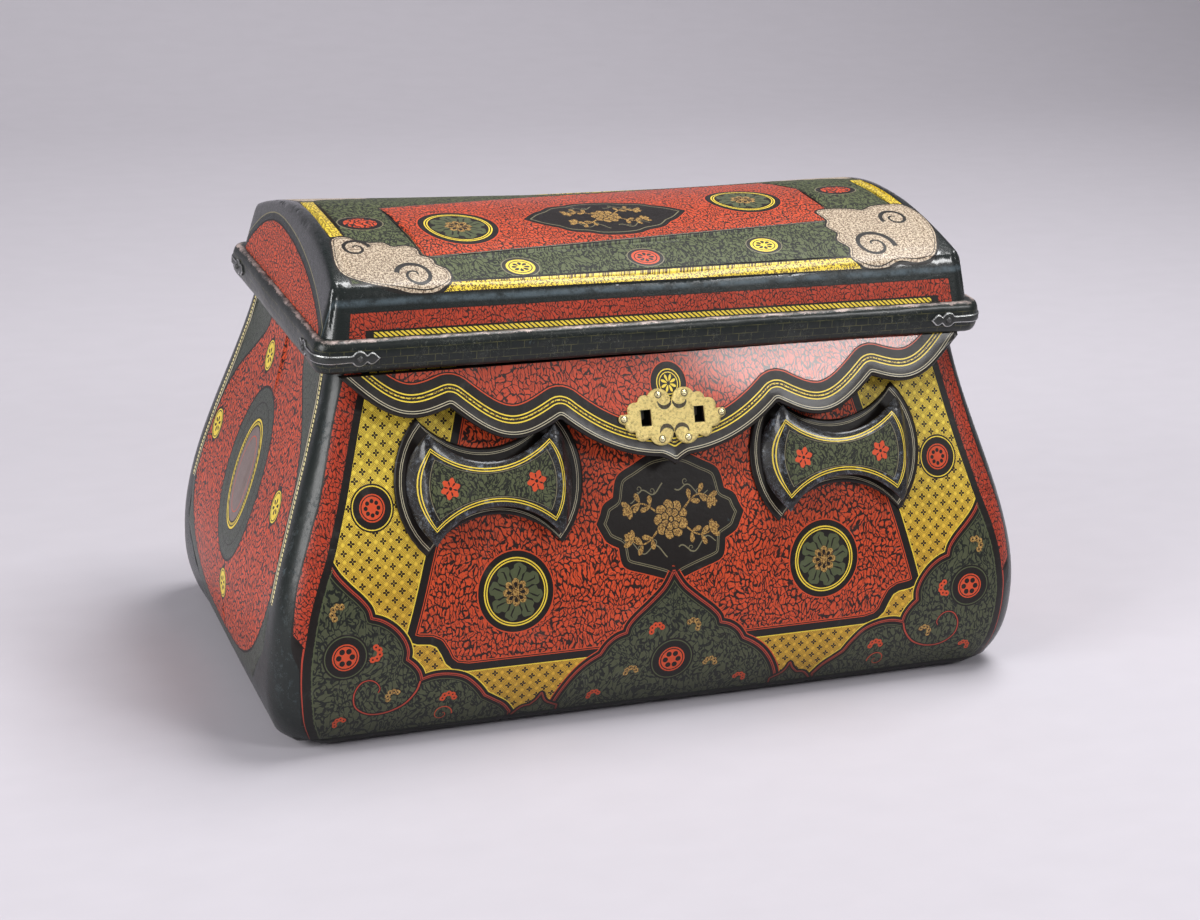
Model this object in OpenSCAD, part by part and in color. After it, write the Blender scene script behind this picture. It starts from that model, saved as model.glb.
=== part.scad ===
// Painted leather travelling coffer with a domed lid, hung on two pinned hinges at the back.
// Millimetres, Z up. X runs along the length, the front faces -Y, the origin is on the floor
// under the middle of the belly.

/* [Body] */
// Widest length of the body, at the belly
belly_w = 504; // [460:2:560]
// Widest depth of the body, at the belly
belly_d = 268; // [250:2:300]
// Height of the belly above the floor
belly_z = 50; // [40:1:70]
// Length of the body at its mouth
mouth_w = 414; // [390:2:440]
// Depth of the body at its mouth
mouth_d = 189; // [180:1:210]
// Height of the mouth, where the painted skin ends
mouth_z = 225; // [215:1:245]
// How far the mouth sits behind the middle of the belly
mouth_back = 15; // [8:1:18]
// How far the sides draw in between the belly and the foot
foot_tuck = 13; // [8:1:18]
// Radius of the rounded foot, and thickness of the base board in it
foot_round = 8; // [6:0.5:10]
// How far the base board stands below the skin
base_proud = 1; // [0.5:0.5:2]
// Radius of the upright corners at the mouth
corner_mouth_r = 13; // [12.5:0.5:16]
// Radius of the upright corners at the belly
corner_belly_r = 24; // [18:1:30]
// Thickness of the leather skin
skin_t = 3; // [2:0.5:3.5]
// Thickness of the wooden boards of the body
board_t = 6; // [5:0.5:7]
// Height of the boards above the mouth, inside the lid's rim
lip_h = 8; // [5:1:12]

/* [Lid] */
// Gap between the closed lid and the body
lid_gap = 0.3; // [0.2:0.1:0.6]
// Clearance between the lip and the rim round it
lip_clear = 1; // [0.8:0.1:1.5]
// Overhang of the rim beyond the mouth
rim_over = 13; // [12:0.5:15]
// Height of the rim
rim_h = 20; // [18:1:24]
// How far the rim's face bulges
rim_bulge = 5; // [3:0.5:6]
// Step from the rim's face in to the foot of the dome
rim_step = 6; // [5.5:0.5:8]
// Radius of the rim's corners in plan
rim_corner_r = 11; // [8:1:14]
// Height of the dome above the rim
dome_h = 48; // [40:1:54]
// How far the crown falls from its middle to its edges
crown_fall = 24; // [18:1:28]
// How much lower the crown is at mid-length than at its ends
crown_sag = 4; // [0:0.5:6]
// Steepness of the front and back slopes, rise over run
side_steep = 3; // [2.5:0.1:4]
// Steepness of the end slopes, rise over run
end_steep = 4; // [3:0.1:5]
// Radius of the dome's corners in plan
dome_corner_r = 13; // [10:1:15]
// Thickness of the lid's leather skin
lid_skin_t = 2.5; // [2:0.5:3]
// Thickness of the lid's wooden boards
lid_board_t = 6; // [5:0.5:6]

/* [Front flap] */
// Half length of the flap where it leaves the rim
flap_half_w = 205; // [198:1:206]
// Height of the flap's middle tip above the floor
flap_tip_z = 162; // [158:1:166]
// Height of the big lobe's lower edge beside the tip
flap_lobe_z = 167; // [166:0.5:169]
// Distance of the inner notches from the middle
inner_notch_x = 72; // [68:1:76]
// Height of the inner notches above the floor
inner_notch_z = 196; // [193:1:202]
// Distance of the outer notches from the middle
outer_notch_x = 140; // [136:1:146]
// Height of the outer notches above the floor
outer_notch_z = 206; // [204:1:212]
// Thickness of the flap
flap_t = 4; // [3:0.5:5]
// Gap between the flap and the body at the flap's top
flap_top_gap = 3.8; // [3:0.1:4]
// Gap between the flap and the body at the flap's lowest point
flap_low_gap = 11.8; // [11.5:0.1:13]
// How far the middle of the flap's height bulges forward
flap_bulge = 1.5; // [1:0.1:2]
// Extra thickness of the moulded bead along the scalloped edge
bead_t = 1.4; // [0.5:0.1:2]

/* [Lock] */
// Height of the middle of the lock plate above the floor
lock_z = 190; // [188:1:194]
// Thickness of the lock plate
lock_plate_t = 1.5; // [1:0.1:2]
// Distance of the staple slots from the middle
slot_x = 17.6; // [16:0.2:19]
// Width of a staple slot
slot_w = 7; // [6:0.5:8]
// Height of a staple slot
slot_h = 10; // [9:0.5:10.5]
// Height of a staple head above the skin
staple_proud = 8.5; // [7:0.1:8.8]

/* [Strap loops] */
// Distance of the loops from the middle
loop_x = 115.5; // [110:0.5:118]
// Height of the middle of a loop above the floor
loop_z = 157; // [150:1:158]
// Half length of a loop's plate at mid-height
loop_half_w = 59.5; // [56:0.5:61]
// Half length of a loop's plate at its corners
loop_corner_x = 43; // [40:0.5:46]
// Half height of a loop's plate at its corners
loop_corner_z = 38; // [34:0.5:39]
// Half height of a loop's plate at its waist
loop_waist_z = 18.5; // [16:0.5:21]
// Thickness of a loop's plate
loop_plate_t = 2; // [1.5:0.1:2.5]
// Width of the plate's border that shows round the bridge
loop_border = 7; // [6:0.5:8]
// Height of the space under the bridge, for the strap
loop_space = 10; // [9:0.5:12]
// Thickness of the bridge
bridge_t = 3; // [2.5:0.1:3.5]

/* [Hinges] */
// Distance of the hinges from the middle
hinge_x = 128; // [100:1:150]
// Width of a hinge leaf
leaf_w = 28; // [24:1:34]
// Thickness of a hinge leaf
leaf_t = 1.6; // [1.2:0.1:2]
// Length of the body leaf down the back
leaf_drop = 42; // [30:1:50]
// Radius of the hinge knuckles
knuckle_r = 3.6; // [3.2:0.1:4]
// Radius of the hinge pins
pin_r = 1.5; // [1.3:0.1:1.8]
// Radial clearance between a pin and its knuckles
pin_clear = 0.05; // [0.02:0.01:0.1]
// Length of the middle knuckle
mid_knuckle = 13; // [10:1:15]
// Gap between neighbouring knuckles
knuckle_gap = 0.3; // [0.2:0.05:0.5]

/* [Corner irons and rivets] */
// Reach of a corner iron along the rim from the corner
iron_reach = 38; // [32:1:44]
// Half height of a corner iron's strip
iron_half_h = 2.6; // [2:0.1:3.2]
// Radius of the round lobe near a corner iron's end
iron_lobe_r = 4.6; // [4:0.1:5.2]
// Thickness of a corner iron
iron_t = 0.8; // [0.6:0.1:1.2]
// Radius of a rivet head
rivet_r = 1.9; // [1.4:0.1:2.2]

/* [Hidden] */
$fn = 32;

// Colours
lacquer = [0.16, 0.19, 0.18];
vermilion = [0.74, 0.26, 0.18];
bare_wood = [0.42, 0.20, 0.13];
iron = [0.30, 0.30, 0.31];
brass = [0.80, 0.72, 0.44];

// Heights shared by the body and the lid
foot_z = base_proud + foot_round;
lip_z = mouth_z + lip_h;
rim_z = mouth_z + lid_gap;
dome_z = rim_z + rim_h;

// Half sizes of the rim and of the dome's foot, and how deep the rim reaches inwards
rim_a = mouth_w / 2 + rim_over;
rim_b = mouth_d / 2 + rim_over;
rim_in = rim_over + skin_t - lip_clear;
dome_a = rim_a - rim_step;
dome_b = rim_b - rim_step;

// Steps in a quarter corner, an even number so that its middle is a step
corner_n = 6;
side_n = corner_n + 1;
ring_n = 4 * side_n;
// Steps from the foot to the mouth
wall_n = 15;
// Smallest radius that an inner corner may have
min_r = 1;
// Fullness of the ends, and of the front and back, just under the mouth
end_full = 0.65;
side_full = 1.2;
// Power of the curve between belly and foot
tuck_power = 2.5;
// Hair of space between a fitting and a curved face that it lies on
seat = 0.2;
// Reach of a cutter beyond what it cuts
past = 1;

// Outline of the body
function rise(t) = 3 * t * t - 2 * t * t * t;
function limit(t) = min(1, max(0, t));
function fall_u(z) = limit((mouth_z - z) / (mouth_z - belly_z));
function swell(z, full) = let(u = fall_u(z)) rise(u) + full * u * (1 - u) * (1 - u);
function tuck(z) = z < belly_z ? foot_tuck * pow((belly_z - z) / belly_z, tuck_power) : 0;
function foot_in(z) =
    z < foot_z ? foot_round - sqrt(pow(foot_round, 2) - pow(foot_z - max(z, base_proud), 2)) : 0;
function half_w(z) = mouth_w / 2 + (belly_w - mouth_w) / 2 * swell(z, end_full) - tuck(z) - foot_in(z);
function half_d(z) = mouth_d / 2 + (belly_d - mouth_d) / 2 * swell(z, side_full) - tuck(z) - foot_in(z);
function corner_r(z) = corner_mouth_r + (corner_belly_r - corner_mouth_r) * fall_u(z);
function mid_y(z) = mouth_back * rise(1 - fall_u(z));
// Y of the front face, side -1, or of the back face, side 1
function face_y(z, side) = mid_y(z) + side * half_d(z);
// Angle by which a face leans from the upright at height z
function face_lean(z, side) = atan((face_y(z + past, side) - face_y(z - past, side)) / (2 * past));

// Point k of a rounded rectangle with half sizes a and b and corner radius r, counted
// anticlockwise from the end of its right side
function ring_point(a, b, r, k) =
    let(
        c = floor(k / side_n),
        t = 90 * c + 90 / corner_n * (k % side_n),
        sx = (c == 0 || c == 3) ? 1 : -1,
        sy = c < 2 ? 1 : -1
    )
    [sx * (a - r) + r * cos(t), sy * (b - r) + r * sin(t)];
// The same point on the body at height z, a distance off inside its face
function wall_point(z, off, k) =
    let(p = ring_point(half_w(z) - off, half_d(z) - off, max(min_r, corner_r(z) - off), k))
    [p.x, p.y + mid_y(z), z];
// The steps of side c, from the middle of one corner to the middle of the next:
// 0 is the back, 1 the left, 2 the front, 3 the right
function side_steps(c) = [for (i = [0:side_n]) (side_n * c + corner_n / 2 + i) % ring_n];
// Heights of the rings of points round the foot and up the wall
foot_levels = [for (t = [0, 30, 60]) foot_z - foot_round * cos(t)];
wall_levels = [for (i = [0:wall_n]) foot_z + (mouth_z - foot_z) * i / wall_n];

// Triangles of the quad a, b, c, d, which runs clockwise seen from outside, cut from a to c or,
// where it is turned, from b to d
function quad(a, b, c, d, turned = false) = turned ? [[a, b, d], [b, c, d]] : [[a, b, c], [a, c, d]];
function flat(lists) = [for (row = lists) for (p = row) p];
// Faces of two grids of rows and columns, the outer and the inner, closed into a thick sheet.
// Columns run anticlockwise round the solid and rows run upwards. turned says of row j and
// column i whether the quad there is cut the other way. The edges are cut so that neighbouring
// sheets fit.
function sheet_faces(rows, cols, wrap, turned) =
    let(
        n = rows * cols,
        last = wrap ? cols - 1 : cols - 2,
        at = function(j, i) j * cols + i % cols
    )
    flat(concat(
        [for (j = [0:rows - 2], i = [0:last])
            quad(at(j, i), at(j + 1, i), at(j + 1, i + 1), at(j, i + 1), turned(j, i))],
        [for (j = [0:rows - 2], i = [0:last])
            quad(n + at(j, i), n + at(j, i + 1), n + at(j + 1, i + 1), n + at(j + 1, i), turned(j, i))],
        [for (i = [0:last]) quad(at(0, i), at(0, i + 1), n + at(0, i + 1), n + at(0, i))],
        [for (i = [0:last])
            quad(at(rows - 1, i + 1), at(rows - 1, i), n + at(rows - 1, i), n + at(rows - 1, i + 1), true)],
        wrap ? [] : [for (j = [0:rows - 2]) quad(at(j + 1, 0), at(j, 0), n + at(j, 0), n + at(j + 1, 0))],
        wrap ? [] : [for (j = [0:rows - 2])
            quad(at(j, cols - 1), at(j + 1, cols - 1), n + at(j + 1, cols - 1), n + at(j, cols - 1), true)]
    ));
// Thick sheet between an outer and an inner grid of points
module sheet(outer, inner, wrap = false, turned = function(j, i) false) {
    polyhedron(concat(flat(outer), flat(inner)), sheet_faces(len(outer), len(outer[0]), wrap, turned));
}
// Solid through a row of closed sections, each anticlockwise seen from the start
module bar(sections) {
    m = len(sections[0]);
    last = len(sections) - 1;
    sides = flat([for (s = [0:last - 1], i = [0:m - 1])
        quad(s * m + i, s * m + (i + 1) % m, (s + 1) * m + (i + 1) % m, (s + 1) * m + i)]);
    start = [for (i = [m - 1:-1:0]) i];
    end = [for (i = [0:m - 1]) last * m + i];
    polyhedron(flat(sections), concat(sides, [start], [end]));
}

// BODY
module body_skin() {
    levels = concat(foot_levels, wall_levels);
    color(vermilion)
    sheet(
        [for (z = levels) [for (k = [0:ring_n - 1]) wall_point(z, 0, k)]],
        [for (z = levels) [for (k = [0:ring_n - 1]) wall_point(z, skin_t, k)]],
        wrap = true
    );
}

// One wall board, whose top stands inside the lid's rim as a lip
module wall_board(side) {
    levels = concat(wall_levels, [lip_z]);
    steps = side_steps(side);
    color(bare_wood)
    sheet(
        [for (z = levels) [for (k = steps) wall_point(z, skin_t, k)]],
        [for (z = levels) [for (k = steps) wall_point(z, skin_t + board_t, k)]]
    );
}

// The board that the coffer stands on fills the rounded foot of the skin
module base_board() {
    levels = concat([0], foot_levels, [foot_z]);
    color(bare_wood)
    bar([for (z = levels) [for (k = [ring_n - 1:-1:0]) wall_point(z, skin_t, k)]]);
}

// STRAP LOOPS
// Radius of an arc with half chord c and height h
function arc_r(c, h) = (c * c + h * h) / (2 * h);
// How far the corners and the waist are drawn in for each millimetre of border
corner_draw = 0.5;
waist_draw = 0.85;
function bow_end(b) = loop_half_w - b;
// Half height, at x from its middle, of a bow tie that is drawn in by the border b
function bow_half(x, b) =
    let(
        cx = loop_corner_x - b * corner_draw,
        cz = loop_corner_z - b,
        waist = loop_waist_z - b * waist_draw,
        top_r = arc_r(cx, cz - waist),
        end_r = arc_r(cz, bow_end(b) - cx),
        end_x = bow_end(b) - end_r
    )
    abs(x) < cx
        ? waist + top_r - sqrt(top_r * top_r - x * x)
        : sqrt(max(0, end_r * end_r - pow(abs(x) - end_x, 2)));
// Stations along a bow tie, as parts of its half length, closer at the ends
bow_tip = 0.995;
bow_half_steps = [0.12, 0.26, 0.4, 0.52, 0.62, 0.7, 0.77, 0.84, 0.9, 0.95, 0.98, bow_tip];
bow_last = len(bow_half_steps) - 1;
bow_steps = concat([for (i = [bow_last:-1:0]) -bow_half_steps[i]], [0], bow_half_steps);
// Rows up a bow tie, as parts of its half height
plate_rows = [-1, -0.5, 0, 0.5, 1];
bridge_rows = [-1, -0.85, -0.5, 0, 0.5, 0.85, 1];
// Length of the bridge's slopes
bridge_ramp = 12;
// Rise of the bridge from the plate, 0 at its ends and 1 over its space
function ramp(x) = rise(limit((bow_end(loop_border) - abs(x)) / bridge_ramp));
// How much the bridge's long edges are rounded down
bridge_round = 1.6;
function edge_drop(v) = bridge_round * pow(abs(v), 6);
// Point on a loop at x and part v of its half height, lifted off the skin
function loop_point(side, x, v, b, lift) =
    let(z = loop_z + v * bow_half(x, b), lean = face_lean(z, -1))
    [side * loop_x + x, face_y(z, -1) - seat - lift * cos(lean), z + lift * sin(lean)];

// Flat leather plate in the outline of a bow tie
module loop_plate(side) {
    xs = [for (t = bow_steps) t * bow_end(0)];
    color(lacquer)
    sheet(
        [for (v = plate_rows) [for (x = xs) loop_point(side, x, v, 0, loop_plate_t)]],
        [for (v = plate_rows) [for (x = xs) loop_point(side, x, v, 0, 0)]]
    );
}

// Moulded bridge on the plate, open above and below for an upright strap
module loop_bridge(side) {
    xs = [for (t = bow_steps) t * bow_end(loop_border)];
    color(lacquer)
    sheet(
        [for (v = bridge_rows) [for (x = xs)
            loop_point(side, x, v, loop_border,
                loop_plate_t + bridge_t + loop_space * ramp(x) - edge_drop(v))]],
        [for (v = bridge_rows) [for (x = xs)
            loop_point(side, x, v, loop_border, loop_plate_t + loop_space * ramp(x))]]
    );
}

// STAPLES
// Width and height of a staple's head
staple_w = 2.6;
staple_h = 6;
// How far a staple's root lies below the middle of the lock, as it points up a little
staple_drop = 3;
// Head of an iron staple in the body, seen through a slot of the lock plate
module staple(side) {
    color(iron)
    translate([side * slot_x, face_y(lock_z - staple_drop, -1) - seat, lock_z - staple_drop])
    rotate([-face_lean(lock_z - staple_drop, -1), 0, 0])
    rotate([90, 0, 0])
    linear_extrude(staple_proud)
    union() {
        square([staple_w, staple_h - staple_w], center = true);
        for (s = [-1, 1]) translate([0, s * (staple_h - staple_w) / 2]) circle(d = staple_w);
    }
}

// HINGES
// Line of the pins, outside the rim and below it
pin_y = mouth_back + rim_b + knuckle_r;
pin_z = rim_z - lid_gap - knuckle_r - knuckle_gap;
web_top = pin_z - knuckle_r + leaf_t;
side_knuckle = (leaf_w - mid_knuckle) / 2 - knuckle_gap;
// Steps down the body leaf
leaf_rows = 6;
module knuckle(x0, len) {
    translate([x0, pin_y, pin_z])
    rotate([0, 90, 0])
    cylinder(h = len, r = knuckle_r);
}
module pin_bore(x0, len) {
    translate([x0 - past, pin_y, pin_z])
    rotate([0, 90, 0])
    cylinder(h = len + 2 * past, r = pin_r + pin_clear);
}

// Leaf on the body: a plate down the back, a web under the rim and the two outer knuckles
module hinge_body_leaf(side) {
    x0 = side * hinge_x - leaf_w / 2;
    inner_y = face_y(web_top, 1) + seat;
    drop = [for (i = [0:leaf_rows]) web_top - leaf_drop + leaf_drop * i / leaf_rows];
    color(iron)
    union() {
        sheet(
            [for (z = drop) [for (x = [x0 + leaf_w, x0]) [x, face_y(z, 1) + seat + leaf_t, z]]],
            [for (z = drop) [for (x = [x0 + leaf_w, x0]) [x, face_y(z, 1) + seat, z]]]
        );
        difference() {
            union() {
                translate([x0, inner_y, pin_z - knuckle_r])
                cube([leaf_w, pin_y - inner_y, leaf_t]);
                knuckle(x0, side_knuckle);
                knuckle(x0 + leaf_w - side_knuckle, side_knuckle);
            }
            pin_bore(x0, leaf_w);
            translate([x0 + side_knuckle, pin_y - knuckle_r - knuckle_gap, pin_z - knuckle_r - past])
            cube([leaf_w - 2 * side_knuckle, 2 * knuckle_r, 2 * knuckle_r]);
        }
    }
}

// Space between the outer knuckles and the foot of the lid leaf
leaf_foot = 0.7;
// Leaf on the lid: an upright plate against the rim and the middle knuckle
module hinge_lid_leaf(side) {
    mid_x = side * hinge_x;
    color(iron)
    difference() {
        union() {
            translate([mid_x - leaf_w / 2, pin_y - knuckle_r, pin_z + knuckle_r + leaf_foot])
            cube([leaf_w, leaf_t, dome_z - pin_z - knuckle_r - leaf_foot]);
            translate([mid_x - mid_knuckle / 2, pin_y - knuckle_r, pin_z])
            cube([mid_knuckle, leaf_t, dome_z - pin_z]);
            knuckle(mid_x - mid_knuckle / 2, mid_knuckle);
        }
        pin_bore(mid_x - mid_knuckle / 2, mid_knuckle);
    }
}

// Thickness and radius of a pin's heads
pin_head_t = 1;
pin_head_r = 2.4;
module hinge_pin(side) {
    x0 = side * hinge_x - leaf_w / 2;
    color(iron)
    translate([x0 - pin_head_t, pin_y, pin_z])
    rotate([0, 90, 0])
    union() {
        cylinder(h = leaf_w + 2 * pin_head_t, r = pin_r);
        cylinder(h = pin_head_t, r = pin_head_r);
        translate([0, 0, leaf_w + pin_head_t]) cylinder(h = pin_head_t, r = pin_head_r);
    }
}

// Height of a rivet head as a part of its radius, and the steps and sides of its dome
rivet_h = 0.6;
rivet_n = 3;
rivet_sides = 20;
// Domed rivet head, its flat side down, as a turned outline
module rivet() {
    rotate_extrude($fn = rivet_sides)
    polygon(concat([[0, 0]], [for (i = [0:rivet_n])
        let(t = 90 * i / rivet_n) [i == rivet_n ? 0 : rivet_r * cos(t), rivet_r * rivet_h * sin(t)]]));
}
// Distances of the rivets below the top of the body leaf
body_rivet_drops = [10, 24, 37];
module hinge_body_rivets() {
    color(iron)
    for (side = [-1, 1], d = body_rivet_drops, s = [-1, 1]) {
        z = web_top - d;
        translate([side * hinge_x + s * leaf_w / 4, face_y(z, 1) + 2 * seat + leaf_t, z])
        rotate([-90 - face_lean(z, 1), 0, 0])
        rivet();
    }
}
module hinge_lid_rivets() {
    color(iron)
    for (side = [-1, 1], s = [-1, 1])
        translate([side * hinge_x + s * leaf_w / 4, pin_y - knuckle_r + leaf_t, rim_z + rim_h / 2])
        rotate([-90, 0, 0])
        rivet();
}

// LID
// Sharpness of the dome's rounded arrises
round_power = 12;
function crown(x, y) =
    dome_h - crown_fall * pow(y / dome_b, 2) - crown_sag * pow(1 - pow(x / dome_a, 2), 2);
// Height of the dome above its foot, at inset se from its end and sf from its side
function dome_rise(x, y, se, sf, t) =
    (se <= 0 || sf <= 0) ? 0
    : pow(
        pow(end_steep * se, -round_power) + pow(side_steep * sf, -round_power)
            + pow(crown(x, y) - t, -round_power),
        -1 / round_power
    );
// How far a steep slope moves inwards in plan for each millimetre of thickness
function in_plan(steep) = sqrt(1 + 1 / (steep * steep));
// Stations across the dome, closer at the slopes
insets = [0, 1.5, 3.2, 5.2, 7.5, 10, 13, 18, 30];
inset_last = len(insets) - 1;
// Station where the sloping boards meet the top board
split = 6;
middle_x = [-150, -100, -50, 0, 50, 100, 150];
middle_y = [-50, -25, 0, 25, 50];
function stations(half, middle) =
    concat([for (s = insets) s / half - 1], [for (m = middle) m / half],
        [for (i = [inset_last:-1:0]) 1 - insets[i] / half]);
dome_us = stations(dome_a, middle_x);
dome_vs = stations(dome_b, middle_y);
// Point of the dome's surface, t inside its skin, at parts u and v of its half sizes
function dome_point(u, v, t) =
    let(
        a = dome_a - t * in_plan(end_steep),
        b = dome_b - t * in_plan(side_steep),
        r = max(2 * min_r, dome_corner_r - t),
        x = abs(u) * a,
        y = abs(v) * b,
        p = (x - a + r) / r,
        q = (y - b + r) / r,
        m = max(p, q),
        ang = p >= q ? 45 * q / p : 90 - 45 * p / q,
        turned = p > 0 && q > 0,
        px = turned ? a - r + r * m * cos(ang) : x,
        py = turned ? b - r + r * m * sin(ang) : y
    )
    [sign(u) * px, sign(v) * py + mouth_back, dome_z + dome_rise(x, y, a - x, b - y, t)];
// Patch of the dome between two depths, over ranges of stations; rows run from back to front,
// so that the solid lies the right way out
module dome_patch(t_out, t_in, i0, i1, j0, j1) {
    js = [for (j = [j1:-1:j0]) j];
    // Cuts run from the dome's corners inwards
    turned = function(j, i)
        (dome_us[i0 + j] + dome_us[i0 + j + 1]) * (dome_vs[j1 - i] + dome_vs[j1 - i - 1]) > 0;
    sheet(
        [for (i = [i0:i1]) [for (j = js) dome_point(dome_us[i], dome_vs[j], t_out)]],
        [for (i = [i0:i1]) [for (j = js) dome_point(dome_us[i], dome_vs[j], t_in)]],
        turned = turned
    );
}
dome_i = len(dome_us) - 1;
dome_j = len(dome_vs) - 1;
lid_in = lid_skin_t + lid_board_t;
module lid_skin() {
    color(vermilion) dome_patch(0, lid_skin_t, 0, dome_i, 0, dome_j);
}
module lid_left_board() {
    color(bare_wood) dome_patch(lid_skin_t, lid_in, 0, split, 0, dome_j);
}
module lid_right_board() {
    color(bare_wood) dome_patch(lid_skin_t, lid_in, dome_i - split, dome_i, 0, dome_j);
}
module lid_front_board() {
    color(bare_wood) dome_patch(lid_skin_t, lid_in, split, dome_i - split, 0, split);
}
module lid_back_board() {
    color(bare_wood) dome_patch(lid_skin_t, lid_in, split, dome_i - split, dome_j - split, dome_j);
}
module lid_top_board() {
    color(bare_wood) dome_patch(lid_skin_t, lid_in, split, dome_i - split, split, dome_j - split);
}

// RIM
// Squareness of the bulge, and the steps up it
bulge_power = 2.5;
rim_n = 8;
// Inset of the rim's bulging face at part w of its height
function rim_off(w) = rim_bulge * (1 - pow(1 - pow(abs(2 * w - 1), bulge_power), 1 / bulge_power));
function rim_point(off, w, k) =
    let(p = ring_point(rim_a - off, rim_b - off, max(min_r, rim_corner_r - off), k))
    [p.x, p.y + mouth_back, rim_z + rim_h * w];
module rim_side(side) {
    color(lacquer)
    bar([for (k = side_steps(side)) concat(
        [for (i = [0:rim_n]) rim_point(rim_off(i / rim_n), i / rim_n, k)],
        [rim_point(rim_in, 1, k), rim_point(rim_in, 0, k)]
    )]);
}

// CORNER IRONS
// Distance from a corner's curve to the pointed end, to the middle of the lobe and to the leaf
iron_tip = iron_reach - rim_corner_r;
iron_lobe = iron_tip - 12;
leaf_from = iron_lobe + 4;
// Half heights of the leaf at its fullest and at its point, and where its outline starts
leaf_half_h = 3;
leaf_point_h = 0.2;
leaf_start = 40;
// Half height of the iron at distance d from the corner's curve
function leaf_turn(d) = leaf_start + (180 - leaf_start) * (d - leaf_from) / (iron_tip - leaf_from);
function iron_half(d) =
    d > leaf_from ? max(leaf_point_h, leaf_half_h * sin(leaf_turn(d)))
    : max(iron_half_h, sqrt(max(0, pow(iron_lobe_r, 2) - pow(d - iron_lobe, 2))));
iron_steps = concat(
    [for (f = [1, 0.8, 0.6, 0.4, 0.2, 0]) leaf_from + f * (iron_tip - leaf_from)],
    [for (f = [0.7, 0.4, 0, -0.4, -0.7, -0.85]) iron_lobe + f * iron_lobe_r],
    [0]
);
iron_last = len(iron_steps) - 1;
iron_rows = [-1, 0, 1];
// Stations round a corner: [distance from its curve, angle of the curve]
iron_path = concat(
    [for (d = iron_steps) [d, 0]],
    [for (i = [1:corner_n - 1]) [0, 90 * i / corner_n]],
    [for (i = [iron_last:-1:0]) [iron_steps[i], 90]]
);
function iron_point(sx, sy, st, v, lift) =
    let(
        w = 0.5 + v * iron_half(st[0]) / rim_h,
        out = rim_corner_r - rim_off(w) + seat + lift,
        x = rim_a - rim_corner_r + out * cos(st[1]) - (st[1] == 90 ? st[0] : 0),
        y = rim_b - rim_corner_r + out * sin(st[1]) - (st[1] == 0 ? st[0] : 0)
    )
    [sx * x, sy * y + mouth_back, rim_z + rim_h * w];
module corner_iron(sx, sy) {
    n = len(iron_path) - 1;
    path = sx * sy > 0 ? iron_path : [for (i = [n:-1:0]) iron_path[i]];
    color(iron)
    sheet(
        [for (v = iron_rows) [for (st = path) iron_point(sx, sy, st, v, iron_t)]],
        [for (v = iron_rows) [for (st = path) iron_point(sx, sy, st, v, 0)]]
    );
}
module corner_iron_rivets() {
    z = rim_z + rim_h / 2;
    lift = iron_t + 2 * seat;
    color(iron)
    for (sx = [-1, 1], sy = [-1, 1]) {
        translate([sx * (rim_a - rim_corner_r - iron_lobe), sy * (rim_b + lift) + mouth_back, z])
        rotate([-90 * sy, 0, 0])
        rivet();
        translate([sx * (rim_a + lift), sy * (rim_b - rim_corner_r - iron_lobe) + mouth_back, z])
        rotate([0, 90 * sx, 0])
        rivet();
    }
}

// FRONT FLAP
// Roundness of the big lobe
lobe_power = 2.2;
// Width of the middle tip as a part of the big lobe's, and its sharpness
tip_part = 0.14;
tip_power = 1.5;
// Depths of the lobes beside the big one
mid_lobe_deep = 13.5;
end_lobe_deep = 12.5;
// Height of the scalloped edge at the flap's two ends
end_edge_z = rim_z - 2.3;
// Height of the scalloped edge at x
function lobe(t, z0, z1, deep) = z0 + (z1 - z0) * t - deep * sin(180 * t);
function flap_edge(x) =
    let(d = abs(x))
    d < inner_notch_x
        ? let(t = d / inner_notch_x)
            flap_lobe_z + (inner_notch_z - flap_lobe_z) * pow(t, lobe_power)
            - (flap_lobe_z - flap_tip_z) * pow(max(0, 1 - t / tip_part), tip_power)
    : d < outer_notch_x
        ? let(t = (d - inner_notch_x) / (outer_notch_x - inner_notch_x))
            lobe(t, inner_notch_z, outer_notch_z, mid_lobe_deep)
        : let(t = (d - outer_notch_x) / (flap_half_w - outer_notch_x))
            lobe(t, outer_notch_z, end_edge_z, end_lobe_deep);
flap_half_xs = concat(
    [for (t = [0.05, 0.1, 0.15, 0.26, 0.38, 0.5, 0.62, 0.74, 0.86, 1]) t * inner_notch_x],
    [for (i = [1:8]) inner_notch_x + (outer_notch_x - inner_notch_x) * i / 8],
    [for (i = [1:8]) outer_notch_x + (flap_half_w - outer_notch_x) * i / 8]
);
flap_last = len(flap_half_xs) - 1;
flap_xs = concat([for (i = [flap_last:-1:0]) -flap_half_xs[i]], [0], flap_half_xs);
// Rows: [height above the edge, added height as a part of what is left, added thickness as a part
// of the bead's]
flap_rows = [[0, 0, -1.2], [0.7, 0, 0.2], [2, 0, 1], [3.4, 0, 0.8], [4.8, 0, 0],
    [4.8, 0.25, 0], [4.8, 0.5, 0], [4.8, 0.75, 0], [4.8, 1, 0]];
// Height of flap that the moulded bead needs, below which the bead is made smaller
edge_band = 16;
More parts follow.
